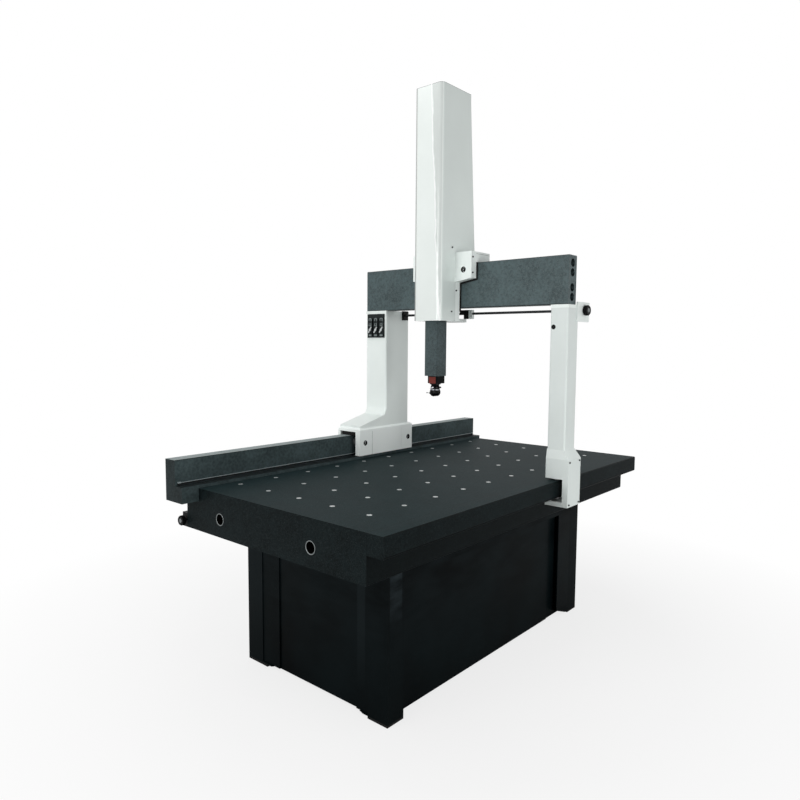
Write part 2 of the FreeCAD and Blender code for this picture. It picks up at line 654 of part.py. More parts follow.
def long_scale():
    """The position scale along the rail and the clamps at its ends."""
    z = "table_height + rail_step + scale_lift"
    strip = block("scale_strip", ("rail_face_x", "rail_y + scale_end_margin + clamp_length", z),
                  ("scale_thickness", "rail_length - 2 * scale_end_margin - 2 * clamp_length", "scale_width"))
    clamps = []
    for y in ("rail_y + scale_end_margin", "-rail_y - scale_end_margin - clamp_length"):
        clamps.append(block("scale_clamp", ("rail_face_x", y, z),
                            ("clamp_thickness", "clamp_length", "clamp_height")))
    return group("long_scale", [strip] + clamps)


def bored_block(name, corner, size, at, radius, axis, length):
    """A block with one round hole."""
    skin = block(name + "_skin", corner, size)
    return cut(name, skin, rod(name + "_hole", at, radius, length, axis))


def long_rod_bearings():
    """Bearing brackets on the table's left side, one at each end."""
    bearings = []
    for y in ("table_y + long_bearing_inset",
              "table_y + table_length - long_bearing_inset - long_bearing_depth"):
        corner = ("table_x - long_bearing_width", y, "long_rod_z - long_bearing_height / 2")
        bearings.append(bored_block("long_bearing", corner,
                                    ("long_bearing_width", "long_bearing_depth", "long_bearing_height"),
                                    ("long_rod_x", y, "long_rod_z"), "long_rod_radius + rod_fit", "y",
                                    "long_bearing_depth"))
    return group("long_rod_bearings", bearings)


def long_feed_rod():
    """The long fine-feed rod."""
    return rod("long_feed_rod", ("long_rod_x", "table_y - knob_gap", "long_rod_z"), "long_rod_radius",
               "table_length + knob_gap - long_bearing_inset", "y")


def knob(name, start, radius, length, axis):
    """A round knob with eased rims."""
    disc = rod(name + "_disc", start, radius, length, axis)
    doc.recompute()
    eased = doc.addObject("Part::Chamfer", name)
    eased.Base = disc
    bevel = sheet_value("knob_edge")
    eased.Edges = [(number, bevel, bevel) for number, edge in enumerate(disc.Shape.Edges, start=1)
                   if edge.Curve.TypeId == "Part::GeomCircle"]
    return eased


def long_feed_knob():
    """The knob on the front end of the long rod."""
    return knob("long_feed_knob", ("long_rod_x", "table_y - knob_gap - long_knob_length", "long_rod_z"),
                "long_knob_radius", "long_knob_length", "y")


def saddle_ceiling():
    """The thick top plate of the saddle with bevelled upper edges."""
    part = body("saddle_ceiling", "saddle_x", "saddle_y", "saddle_under")
    face = sketch(part, "ceiling_face", "XY_Plane")
    rectangle(face, ("0", "0"), ("saddle_width", "saddle_length"))
    pad(part, face, "saddle_plate")
    ease(part, "Chamfer", "saddle_bevel", lambda middle, run: beside(middle.z, "saddle_plate"))
    return part


def saddle_blocks():
    """Front and rear bearing blocks of the saddle, each with the recess of its adjuster."""
    blocks = []
    for y, length, centre in (("saddle_y", "front_block_length", "front_pad_y"),
                              ("saddle_y + saddle_length - rear_block_length", "rear_block_length",
                               "rear_pad_y")):
        skin = block("bearing_skin", ("saddle_inner_x", y, "saddle_z"),
                     ("saddle_block", length, "wall_height"))
        recess = rod("adjuster_recess", ("saddle_right_x - adjuster_depth", centre, "pad_z"),
                     "adjuster_radius", "adjuster_depth", "x")
        blocks.append(cut("saddle_bearing", skin, recess))
    return group("saddle_blocks", blocks)


def saddle_side_cover():
    """The sheet cover between the two bearing blocks."""
    y = "saddle_y + front_block_length + cover_gap"
    long = "saddle_length - front_block_length - rear_block_length - 2 * cover_gap"
    outer = block("cover_skin", ("saddle_inner_x", y, "saddle_z"), ("saddle_block", long, "wall_height"))
    inner = block("cover_core", ("saddle_inner_x", f"{y} + side_cover_plate", "saddle_z"),
                  ("saddle_block - side_cover_plate", f"{long} - 2 * side_cover_plate",
                   "wall_height - side_cover_plate"))
    return cut("saddle_side_cover", outer, inner)


def air_pad(start, reach, axis, flip):
    """An air pad with its stud: the pad's face is at the start, the stud ends at the reach."""
    x, y, z = start
    sign = "-" if flip else "+"
    disc_at = {"x": (f"{x} - pad_thickness", y, z), "y": (x, f"{y} - pad_thickness", z),
               "z": (x, y, f"{z} - pad_thickness")}[axis] if flip else start
    stud_at = {"x": (f"{x} {sign} {reach}", y, z), "y": (x, f"{y} {sign} {reach}", z),
               "z": (x, y, f"{z} {sign} {reach}")}[axis] if flip else start
    disc = rod("pad_disc", disc_at, "pad_radius", "pad_thickness", axis)
    stud = rod("pad_stud", stud_at, "stud_radius", reach, axis)
    return joined("air_pad", disc, stud)


def bridge_pads():
    """Air pads of the saddle round the rail, and of the right foot above and below the ledge."""
    pads = []
    for y in ("front_pad_y", "rear_pad_y"):
        pads.append(air_pad(("rail_face_x + running_gap", y, "pad_z"),
                            "(inner_pad_gap - running_gap)", "x", False))
        pads.append(air_pad(("rail_x - running_gap", y, "pad_z"),
                            "(outer_pad_gap - running_gap)", "x", True))
        pads.append(air_pad(("rail_x + rail_thickness / 2", y, "rail_top_z + running_gap"),
                            "(saddle_under - rail_top_z - running_gap)", "z", False))
    x = "foot_x + (table_right_x - foot_x) / 2"
    y = "foot_y + foot_depth / 2"
    pads.append(air_pad((x, y, "table_height + running_gap"),
                        "(foot_clearance + foot_pad_pocket - running_gap)", "z", False))
    pads.append(air_pad((x, y, "table_height - ledge_thickness - running_gap"),
                        "(hook_drop - lip_thickness - ledge_thickness - running_gap)", "z", True))
    return group("bridge_pads", pads)


def left_leg():
    """The left casting: a straight column with a long toe that blends forward onto the saddle."""
    part = body("left_leg", "leg_x", "beam_y - leg_toe", "saddle_top")
    side = sketch(part, "leg_side", "YZ_Plane")
    outline(side, [("0", "0"), ("leg_toe + left_leg_depth", "0"), ("leg_toe + left_leg_depth", "leg_rise"),
                   ("leg_toe", "leg_rise"), ("leg_toe", "leg_slope_top + leg_knee"),
                   ("leg_toe - leg_slope_back", "leg_slope_top"), ("0", "leg_toe_height")])
    pad(part, side, "left_leg_width")
    ease(part, "Fillet", "leg_blend",
         lambda middle, run: abs(run.x) > 0.99 and beside(middle.y, "leg_toe")
         and middle.z < sheet_value("leg_rise") / 2)
    ease(part, "Fillet", "leg_round",
         lambda middle, run: abs(run.z) > 0.99 and middle.y > sheet_value("leg_toe") - 1)
    return part


def leg_top_plates():
    """Levelling plates between the legs and the beam."""
    left = block("left_plate", ("leg_x", "beam_y", "leg_top"),
                 ("left_leg_width", "left_leg_depth", "top_plate"))
    right = block("right_plate", ("right_leg_x", "beam_y", "leg_top"),
                  ("right_leg_width", "right_leg_depth", "top_plate"))
    return group("leg_top_plates", [left, right])


def right_leg():
    """The slim right leg with a round hole near its top."""
    part = body("right_leg", "right_leg_x", "beam_y", "table_height + foot_neck")
    face = sketch(part, "right_leg_face", "XY_Plane")
    rectangle(face, ("0", "0"), ("right_leg_width", "right_leg_depth"))
    pad(part, face, "right_leg_rise")
    ease(part, "Fillet", "right_leg_round", lambda middle, run: abs(run.z) > 0.99)
    hole = sketch(part, "plug_hole", "XZ_Plane")
    circle(hole, ("plug_side", "right_leg_rise - plug_drop"), "plug_radius")
    pocket(part, hole, "plug_depth")
    return part


def right_foot():
    """The right foot: a flared neck, a shoulder over the table and a hook under the ledge."""
    part = body("right_foot", "foot_x", "foot_y", "table_height")
    section = sketch(part, "hook_section", "XZ_Plane")
    inner = "foot_width - hook_wall"
    outline(section, [("0", "foot_clearance"), (inner, "foot_clearance"),
                      (inner, "lip_thickness - hook_drop"),
                      ("0", "lip_thickness - hook_drop"), ("0", "-hook_drop"), ("foot_width", "-hook_drop"),
                      ("foot_width", "foot_shoulder"), ("0", "foot_shoulder")])
    pad(part, section, "foot_depth", reverse=True)
    low = sketch(part, "flare_low", "XY_Plane", "foot_shoulder")
    rectangle(low, ("0", "0"), ("foot_width", "foot_depth"))
    high = sketch(part, "flare_high", "XY_Plane", "foot_neck")
    neck_x = "right_leg_x - foot_x"
    rectangle(high, (neck_x, "foot_front_lap"), (f"{neck_x} + right_leg_width",
                                                "foot_front_lap + right_leg_depth"))
    flare = part.newObject("PartDesign::AdditiveLoft", "Flare")
    flare.Profile = low
    flare.Sections = [high]
    flare.Ruled = True
    part.Tip = flare
    doc.recompute()
    seat = sketch(part, "pad_seat", "XY_Plane", "foot_clearance")
    circle(seat, ("(table_right_x - foot_x) / 2", "foot_depth / 2"), "pad_radius + counterbore_gap")
    pocket(part, seat, "foot_pad_pocket", reverse=True)
    return part


def beam():
    """The granite beam with four cores bored into its right end."""
    part = body("beam", "beam_x", "beam_y", "beam_z")
    section = sketch(part, "beam_section", "YZ_Plane")
    rectangle(section, ("0", "0"), ("beam_depth", "beam_height"))
    pad(part, section, "beam_length")
    ease(part, "Chamfer", "beam_arris", lambda middle, run: abs(run.x) > 0.99)
    cores = sketch(part, "beam_cores", "YZ_Plane", "beam_length")
    for offset in ("beam_bore_near", "beam_bore_far", "-beam_bore_near", "-beam_bore_far"):
        circle(cores, ("beam_depth / 2", f"beam_height / 2 + {offset}"), "beam_bore_radius")
    pocket(part, cores, "beam_bore_depth")
    return part


def cross_scale():
    """The position scale on the rear face of the beam."""
    return block("cross_scale", ("beam_x + scale_end_margin", "beam_rear_y",
                                 "beam_z + beam_height - cross_scale_drop"),
                 ("beam_length - 2 * scale_end_margin", "scale_thickness", "scale_width"))


def valve_panel():
    """The black panel on the left leg with three valve blocks and three gauges."""
    x = "leg_x + valve_panel_inset"
    z = "leg_top - valve_panel_drop - valve_panel_height"
    panel = block("panel_plate", (x, "valve_y", z), ("valve_panel_width", "valve_panel_plate",
                                                     "valve_panel_height"))
    pieces = [panel]
    for number in range(3):
        mid = f"valve_x + {number} * valve_pitch"
        top = "leg_top - valve_panel_drop - valve_block_drop"
        skin = block("valve_skin", (f"{mid} - valve_block_width / 2", "valve_y - valve_block_depth",
                                    f"{top} - valve_block_height"),
                     ("valve_block_width", "valve_block_depth", "valve_block_height"))
        hole = rod("valve_hole", (mid, "valve_y - valve_block_depth", "lever_z"),
                   "lever_pin_radius + pin_fit", "lever_pin_depth + running_gap", "y")
        gauge = rod("gauge", (mid, "valve_y - valve_block_depth - gauge_length", f"{top} - gauge_drop"),
                    "gauge_radius", "gauge_length", "y")
        pieces += [cut("valve_block", skin, hole), gauge]
    return group("valve_panel", pieces)


def valve_lever(number):
    """One valve lever: a hub on a short pin and a flat bar across it, turned by the lever's angle."""
    name = f"valve_lever_{number + 1}"
    mid = f"valve_x + {number} * valve_pitch"
    face = "valve_y - valve_block_depth - running_gap"
    hub = rod(name + "_hub", (mid, f"{face} - lever_hub_length", "lever_z"), "lever_hub_radius",
              "lever_hub_length", "y")
    pin = rod(name + "_pin", (mid, face, "lever_z"), "lever_pin_radius",
              "lever_pin_depth + running_gap / 2", "y")
    bar = doc.addObject("Part::Box", name + "_bar")
    bind(bar, Length="lever_width", Width="lever_thickness", Height="lever_length")
    bar.Placement = FreeCAD.Placement(FreeCAD.Vector(), FreeCAD.Rotation(FreeCAD.Vector(0, 1, 0), 35))
    bar.setExpression("Placement.Rotation.Angle", formula("lever_angle"))
    across = "lever_width / 2 * cos(lever_angle * 1deg) + lever_length / 2 * sin(lever_angle * 1deg)"
    down = "lever_length / 2 * cos(lever_angle * 1deg) - lever_width / 2 * sin(lever_angle * 1deg)"
    place(bar, f"{mid} - ({across})", f"{face} - lever_hub_length", f"lever_z - ({down})")
    return joined(name, hub, pin, bar)


def cross_rod_bearing():
    """The black bearing block of the cross rod on the left leg."""
    corner = ("leg_right_x", "cross_rod_y - cross_bearing_front", "cross_rod_z - cross_bearing_lift")
    return bored_block("cross_rod_bearing", corner,
                       ("cross_bearing_length", "cross_bearing_width", "cross_bearing_height"),
                       ("leg_right_x", "cross_rod_y", "cross_rod_z"), "cross_rod_radius + rod_fit", "x",
                       "cross_bearing_length")


def cross_rod_bracket():
    """The white bracket plate on the right leg that carries the rod's right end."""
    corner = ("right_leg_right_x", "beam_rear_y + cover_gap", "beam_z + bracket_lift - bracket_height")
    return bored_block("cross_rod_bracket", corner, ("bracket_thickness", "bracket_width", "bracket_height"),
                       ("right_leg_right_x", "cross_rod_y", "cross_rod_z"), "cross_rod_radius + rod_fit",
                       "x", "bracket_thickness")


def cross_feed_rod():
    """The fine-feed rod across the machine."""
    start = ("leg_right_x + rod_end_gap", "cross_rod_y", "cross_rod_z")
    return rod("cross_feed_rod", start, "cross_rod_radius",
               "cross_rod_end_x - leg_right_x - rod_end_gap", "x")


def cross_feed_knob():
    """The knob on the right end of the cross rod."""
    return knob("cross_feed_knob", ("cross_rod_end_x", "cross_rod_y", "cross_rod_z"), "cross_knob_radius",
                "knob_length", "x")


def feed_arm():
    """The saddle's outer wall with an arm that reaches down to a clamp on the long rod."""
    wall = block("outer_wall", ("saddle_x", "saddle_y", "saddle_z"),
                 ("saddle_wall", "saddle_length", "wall_height"))
    clamp_z = "long_rod_z - arm_clamp_height / 2"
    arm_y = "saddle_y + arm_station"
    arm = block("arm", ("saddle_x", arm_y, clamp_z), ("saddle_wall", "arm_length", f"saddle_z - ({clamp_z})"))
    jaw = block("jaw", ("saddle_x", arm_y, clamp_z), ("saddle_wall + arm_clamp_reach", "arm_length",
                                                      "arm_clamp_height"))
    hole = rod("arm_hole", ("long_rod_x", arm_y, "long_rod_z"), "long_rod_radius + rod_loose",
               "arm_length", "y")
    return cut("feed_arm", joined("arm_form", wall, arm, jaw), hole)


def screw(at, axis):
    """One cap screw head."""
    return rod("screw", at, "screw_radius", "screw_head", axis)


def bridge_screws():
    """Adjuster screws and cap screws of the bridge."""
    screws = []
    for y in ("front_pad_y", "rear_pad_y"):
        screws.append(rod("adjuster", ("saddle_right_x - adjuster_depth", y, "pad_z"),
                          "adjuster_screw_radius", "adjuster_screw", "x"))
    for y in ("foot_y + screw_inset", "foot_y + foot_depth - screw_inset"):
        for z in ("table_height + foot_shoulder - screw_lift", "table_height - hook_drop + screw_lift"):
            screws.append(screw(("foot_right_x", y, z), "x"))
    return group("bridge_screws", screws)


def carriage_front_plate():
    """The thick front plate: two wings with sloped undersides and a tongue behind the column."""
    part = body("carriage_front_plate", "carriage_x", "plate_y", "column_z")
    face = sketch(part, "front_plate_face", "XZ_Plane")
    left = "(carriage_width - column_width) / 2"
    right = "(carriage_width + column_width) / 2"
    top = "carriage_top - column_z"
    outline(face, [(left, "0"), (right, "0"), (right, f"{top} - wing_height - wing_fall"),
                   ("carriage_width", f"{top} - wing_height"), ("carriage_width", top), ("0", top),
                   ("0", f"{top} - wing_height"), (left, f"{top} - wing_height - wing_fall")])
    pad(part, face, "plate_thickness", reverse=True)
    channel = sketch(part, "ram_channel", "XZ_Plane")
    middle = "carriage_width / 2"
    rectangle(channel, (f"{middle} - ram_pocket_width / 2", "0"), (f"{middle} + ram_pocket_width / 2", top))
    pocket(part, channel, "ram_pocket_depth")
    seats = sketch(part, "pad_seats", "XZ_Plane", "-plate_thickness")
    wing_z = f"{top} - wing_pad_drop"
    for x, z in (("wing_pad_inset", wing_z), ("carriage_width - wing_pad_inset", wing_z),
                 (middle, "low_pad_rise")):
        circle(seats, (x, z), "front_pad_radius + counterbore_gap")
    pocket(part, seats, "front_pad_sink", reverse=True)
    recess = sketch(part, "adjuster_recesses", "XZ_Plane")
    for x in ("carriage_adjuster_inset", "carriage_width - carriage_adjuster_inset"):
        circle(recess, (x, f"{top} - carriage_adjuster_drop"), "adjuster_radius")
    pocket(part, recess, "adjuster_depth")
    return part


def carriage_top_plate():
    """The plate over the beam with a skirt at each end that hides its air pads."""
    plate = block("top_form", ("carriage_x", "plate_rear_y", "carriage_plate_z"),
                  ("carriage_width", "rear_plate_y + rear_plate - plate_rear_y", "carriage_plate"))
    skirts = []
    for x in ("carriage_x", "carriage_x + carriage_width - skirt_plate"):
        skirts.append(block("skirt", (x, "plate_rear_y", "beam_z + beam_height + skirt_gap"),
                            ("skirt_plate", "rear_plate_y - plate_rear_y", "top_pad_gap - skirt_gap")))
    return joined("carriage_top_plate", plate, *skirts)


def carriage_rear_plate():
    """The plate behind the beam."""
    return block("carriage_rear_plate",
                 ("carriage_x", "rear_plate_y", "carriage_plate_z - rear_plate_height"),
                 ("carriage_width", "rear_plate", "rear_plate_height"))


def carriage_pads():
    """Air pads in front of, above and behind the beam, and those of the ram."""
    pads = []
    right = "carriage_x + carriage_width"
    for x, z in (("carriage_x + wing_pad_inset", "carriage_top - wing_pad_drop"),
                 (f"{right} - wing_pad_inset", "carriage_top - wing_pad_drop"),
                 ("carriage_mid_x", "column_z + low_pad_rise")):
        pads.append(rod("front_pad", (x, "plate_rear_y - front_pad_sink", z), "front_pad_radius",
                        "front_pad_sink + plate_gap - running_gap", "y"))
    for x in ("carriage_x + wing_pad_inset + pad_radius", f"{right} - wing_pad_inset - pad_radius"):
        pads.append(air_pad((x, "beam_y + beam_depth / 2", "beam_z + beam_height + running_gap"),
                            "(top_pad_gap - running_gap)", "z", False))
        pads.append(air_pad((x, "beam_rear_y + running_gap", "carriage_plate_z - rear_plate_height / 2"),
                            "(rear_pad_gap - running_gap)", "y", False))
    for rise in ("low_bearing_rise", "high_bearing_rise"):
        z = f"column_z + {rise} + bearing_height / 2"
        side = "ram_pad_gap - running_gap"
        pads.append(rod("ram_pad", ("ram_x - ram_pad_gap", "ram_mid_y", z), "ram_pad_radius", side, "x"))
        pads.append(rod("ram_pad", ("ram_x + ram_size + running_gap", "ram_mid_y", z), "ram_pad_radius",
                        side, "x"))
        pads.append(rod("ram_pad", ("carriage_mid_x", "ram_y - ram_pad_gap", z), "ram_pad_radius", side, "y"))
        pads.append(rod("ram_pad", ("carriage_mid_x", "ram_y + ram_size + running_gap", z), "ram_pad_radius",
                        "ram_gap + ram_pocket_depth - running_gap", "y"))
    return group("carriage_pads", pads)


def rod_block(name, x, rise, size):
    """A block round the cross rod over the lower plate."""
    y = "cross_rod_y - clamp_depth / 2"
    return bored_block(name, (x, y, f"column_z + lower_plate + {rise}"), (size[0], "clamp_depth", size[1]),
                       (x, "cross_rod_y", "cross_rod_z"), "cross_rod_radius + rod_loose", "x", size[0])


def carriage_lower_plate():
    """The white plate that reaches under the beam, and the white bracket beside the rod clamp."""
    plate = block("lower_form", ("column_x", "plate_rear_y", "column_z"),
                  ("lower_plate_width", "lower_plate_reach", "lower_plate"))
    bracket = rod_block("bracket", "column_x + clamp_shift + clamp_width", "0",
                        ("clamp_bracket", "clamp_rise"))
    return group("carriage_lower_plate", [plate, bracket])


def rod_clamp():
    """The black clamp on the cross rod: its foot stands on the lower plate."""
    clamp = rod_block("clamp", "column_x + clamp_shift", "0", ("clamp_width", "clamp_rise"))
    wing = rod_block("clamp_side", "column_x + clamp_shift - clamp_wing", "clamp_wing_rise",
                     ("clamp_wing", "clamp_rise - clamp_wing_rise"))
    return joined("rod_clamp", clamp, wing)


def front_corners(middle, run):
    """True for the two upright edges at the front of the column."""
    return abs(run.z) > 0.99 and abs(middle.y) < 1


def column_front_cover():
    """The tall front shell with rounded front corners, open to the rear."""
    part = body("column_front_cover", "column_x", "column_y", "column_z + cover_floor")
    skin = sketch(part, "front_skin", "XY_Plane")
    rectangle(skin, ("0", "0"), ("column_width", "column_front_depth"))
    tall = "column_height - cover_floor - cap_height"
    pad(part, skin, tall)
    core = sketch(part, "front_core", "XY_Plane", tall)
    rectangle(core, ("cover_wall", "cover_wall"), ("column_width - cover_wall", "column_front_depth"))
    pocket(part, core, tall)
    ease(part, "Fillet", "column_round - cover_wall",
         lambda middle, run: abs(run.z) > 0.99 and beside(middle.y, "cover_wall"))
    ease(part, "Fillet", "column_round", front_corners)
    return part


def column_rear_cover():
    """The rear shell over the carriage: its back leans forward towards the top."""
    part = body("column_rear_cover", "column_x", "plate_y", "carriage_top")
    side = sketch(part, "rear_skin", "YZ_Plane")
    tall = "cap_z - carriage_top"
    outline(side, [("0", "0"), ("rear_cover_depth", "0"), ("rear_cover_top_depth", tall), ("0", tall)])
    pad(part, side, "column_width")
    core = sketch(part, "rear_core", "YZ_Plane", "cover_wall")
    outline(core, [("0", "0"), ("rear_cover_depth - cover_wall", "0"),
                   ("rear_cover_top_depth - cover_wall", tall), ("0", tall)])
    pocket(part, core, "column_width - 2 * cover_wall", reverse=True)
    return part


def column_top_cap():
    """The cap over both shells."""
    part = body("column_top_cap", "column_x", "column_y", "cap_z")
    face = sketch(part, "cap_face", "XY_Plane")
    rectangle(face, ("0", "0"), ("column_width", "column_front_depth + rear_cover_top_depth"))
    pad(part, face, "cap_height")
    ease(part, "Fillet", "column_round", front_corners)
    return part


def column_bottom_plate():
    """The floor of the column with a square hole for the ram."""
    part = body("column_bottom_plate", "column_x", "column_y", "column_z")
    face = sketch(part, "floor_face", "XY_Plane")
    rectangle(face, ("0", "0"), ("column_width", "column_front_depth"))
    pad(part, face, "cover_floor")
    ease(part, "Fillet", "column_round", front_corners)
    hole = sketch(part, "ram_hole", "XY_Plane", "cover_floor")
    rectangle(hole, ("ram_x - column_x - ram_hole_gap", "ram_y - column_y - ram_hole_gap"),
              ("ram_x - column_x + ram_size + ram_hole_gap", "column_front_depth"))
    pocket(part, hole, "cover_floor")
    return part


def ram_bearing(number, rise):
    """One bearing block: a U round the ram, open to the carriage plate."""
    name = f"ram_bearing_{number}"
    part = body(name, "ram_x - ram_pad_gap - bearing_side_wall", "ram_y - ram_pad_gap - bearing_front_wall",
                f"column_z + {rise}")
    ring = sketch(part, name + "_ring", "XY_Plane")
    wide = "ram_size + 2 * ram_pad_gap + 2 * bearing_side_wall"
    deep = "plate_y - ram_y + ram_pad_gap + bearing_front_wall"
    outline(ring, [("0", "0"), (wide, "0"), (wide, deep), (f"{wide} - bearing_side_wall", deep),
                   (f"{wide} - bearing_side_wall", "bearing_front_wall"),
                   ("bearing_side_wall", "bearing_front_wall"), ("bearing_side_wall", deep), ("0", deep)])
    pad(part, ring, "bearing_height")
    return part


def ram_bearings():
    """The lower and the upper bearing block."""
    return group("ram_bearings", [ram_bearing(1, "low_bearing_rise"), ram_bearing(2, "high_bearing_rise")])


def counterbalance():
    """The hanger under the cap with the rod and piston that stand in the ram's bore."""
    hanger = block("hanger", ("column_x + cover_wall", "column_y + column_round", "hanger_z"),
                   ("column_width - 2 * cover_wall", "hanger_depth", "hanger_plate"))
    stem = rod("piston_rod", ("carriage_mid_x", "ram_mid_y", "piston_z"), "piston_rod_radius",
               "hanger_z - piston_z", "z")
    piston = rod("piston", ("carriage_mid_x", "ram_mid_y", "piston_z"), "ram_bore_radius - piston_fit",
                 "piston_length", "z")
    return joined("counterbalance", hanger, stem, piston)


def read_heads():
    """The read head behind the beam and the one behind the ram."""
    z = "beam_z + beam_height - cross_scale_drop + scale_width / 2 - read_head_width / 2"
    y = "beam_rear_y + scale_thickness + read_head_gap"
    cross = block("cross_head", ("carriage_mid_x - read_head_length / 2", y, z),
                  ("read_head_length", f"rear_plate_y - ({y})", "read_head_width"))
    back = "ram_y + ram_size + ram_scale_plate + read_head_gap"
    ram_side = block("ram_head",
                     ("ram_x + ram_scale_margin + ram_scale_width / 2 - read_head_width / 2", back,
                      "column_z + read_head_rise"),
                     ("read_head_width", f"plate_y + ram_pocket_depth - ({back})", "read_head_length"))
    return group("read_heads", [cross, ram_side])


def carriage_screws():
    """Adjuster screws of the carriage and the cap screws of the column cover."""
    screws = []
    for x in ("carriage_x + carriage_adjuster_inset",
              "carriage_x + carriage_width - carriage_adjuster_inset"):
        screws.append(rod("adjuster", (x, "plate_y + adjuster_depth - adjuster_screw",
                                       "carriage_top - carriage_adjuster_drop"),
                          "adjuster_screw_radius", "adjuster_screw", "y"))
    for z in ("carriage_top - wing_screw_high", "carriage_top - wing_screw_low"):
        screws.append(screw(("carriage_x + carriage_width", "plate_y + wing_screw_inset", z), "x"))
    for y, z in (("plate_y - column_screw_inset", "column_z + low_screw_rise"),
                 ("plate_y - column_screw_inset", "carriage_top + high_screw_rise"),
                 ("plate_y + wing_screw_inset", "column_z + tongue_screw_rise")):
        screws.append(screw(("column_x + column_width", y, z), "x"))
    return group("carriage_screws", screws)


def ram():
    """The hollow granite ram."""
    part = body("ram", "ram_x", "ram_y", "ram_z")
    face = sketch(part, "ram_face", "XY_Plane")
    rectangle(face, ("0", "0"), ("ram_size", "ram_size"))
    pad(part, face, "ram_length")
    ease(part, "Chamfer", "ram_arris", lambda middle, run: abs(run.z) > 0.99)
    bore = sketch(part, "ram_bore", "XY_Plane", "ram_length")
    circle(bore, ("ram_size / 2", "ram_size / 2"), "ram_bore_radius")
    pocket(part, bore, "ram_length - ram_floor")
    return part


def ram_seal_cap():
    """The cap on the ram that the piston rod slides through."""
    at = ("carriage_mid_x - seal_cap_size / 2", "ram_mid_y - seal_cap_size / 2", "ram_top")
    return bored_block("ram_seal_cap", at, ("seal_cap_size", "seal_cap_size", "seal_cap_height"),
                       ("carriage_mid_x", "ram_mid_y", "ram_top"), "piston_rod_radius + seal_gap", "z",
                       "seal_cap_height")


def ram_scale():
    """The position scale on the rear face of the ram."""
    return block("ram_scale", ("ram_x + ram_scale_margin", "ram_y + ram_size", "ram_z + ram_scale_margin"),
                 ("ram_scale_width", "ram_scale_plate", "ram_length - 2 * ram_scale_margin"))


def probe_mount():
    """The black part of the block under the ram, with the bore of the swivel."""
    mid_x = "carriage_mid_x"
    corner = ("mount_x", "ram_mid_y - mount_depth / 2", "mount_z")
    size = ("mount_width", "mount_depth", "mount_height")
    red = block("red_space", corner, ("red_width", "swivel_pin_radius * 2", "mount_height"))
    skin = cut("mount_form", block("mount_skin", corner, size), red)
    bore = rod("swivel_bore", (mid_x, "ram_mid_y", "mount_z"), "swivel_pin_radius + pin_fit",
               "swivel_pin_length + running_gap", "z")
    return cut("probe_mount", skin, bore)


def probe_mount_face():
    """The plain red part of the block."""
    return block("probe_mount_face", ("mount_x", "ram_mid_y - mount_depth / 2", "mount_z"),
                 ("red_width", "swivel_pin_radius * 2", "mount_height"))


def probe_head():
    """The swivelling head: a collar on a pin, with two cheeks that hold the knuckle."""
    x, y = "carriage_mid_x", "ram_mid_y"
    collar = rod("head_collar_disc", (x, y, "mount_z - running_gap - head_collar"), "head_radius",
                 "head_collar", "z")
    pin = rod("swivel_pin", (x, y, "mount_z - running_gap"), "swivel_pin_radius", "swivel_pin_length", "z")
    cheeks = []
    for offset in ("knuckle_length / 2 + fork_gap", "-knuckle_length / 2 - fork_gap - fork_cheek"):
        cheek = block("cheek", (f"{x} - fork_width / 2", f"{y} + {offset}", "tilt_z - running_gap"),
                      ("fork_width", "fork_cheek", "fork_drop"))
        tip = rod("cheek_tip", (x, f"{y} + {offset}", "tilt_z - running_gap"), "fork_width / 2",
                  "fork_cheek", "y")
        cheeks += [cheek, tip]
    form = joined("head_form", collar, pin, *cheeks)
    hole = rod("tilt_hole", (x, f"{y} - knuckle_length / 2 - fork_gap - fork_cheek", "tilt_z - running_gap"),
               "tilt_pin_radius + pin_fit", "knuckle_length + 2 * fork_gap + 2 * fork_cheek", "y")
    return cut("probe_head", form, hole)


def probe_body():
    """The knuckle on its tilt pin with the probe barrel to the left."""
    x, y, z = "carriage_mid_x", "ram_mid_y", "tilt_z - running_gap"
    drum = rod("knuckle", (x, f"{y} - knuckle_length / 2", z), "knuckle_radius", "knuckle_length", "y")
    pin = rod("tilt_pin", (x, f"{y} - knuckle_length / 2 - fork_gap - fork_cheek", z), "tilt_pin_radius",
              "knuckle_length + 2 * fork_gap + 2 * fork_cheek", "y")
    barrel = rod("barrel", (f"{x} - knuckle_radius - barrel_length", y, f"{z} - stylus_drop"),
                 "barrel_radius", "barrel_length + knuckle_radius", "x")
    return joined("probe_body", drum, pin, barrel)


def stylus():
    """The stylus with its ball."""
    x = "carriage_mid_x - knuckle_radius - barrel_length"
    z = "tilt_z - running_gap - stylus_drop"
    stem = rod("stylus_stem", (f"{x} - stylus_length", "ram_mid_y", z), "stylus_radius", "stylus_length", "x")
    ball = doc.addObject("Part::Sphere", "stylus_ball")
    bind(ball, Radius="ball_radius")
    ball.Placement = FreeCAD.Placement(FreeCAD.Vector(), turns["x"])
    place(ball, f"{x} - stylus_length", "ram_mid_y", z)
    return joined("stylus", stem, ball)


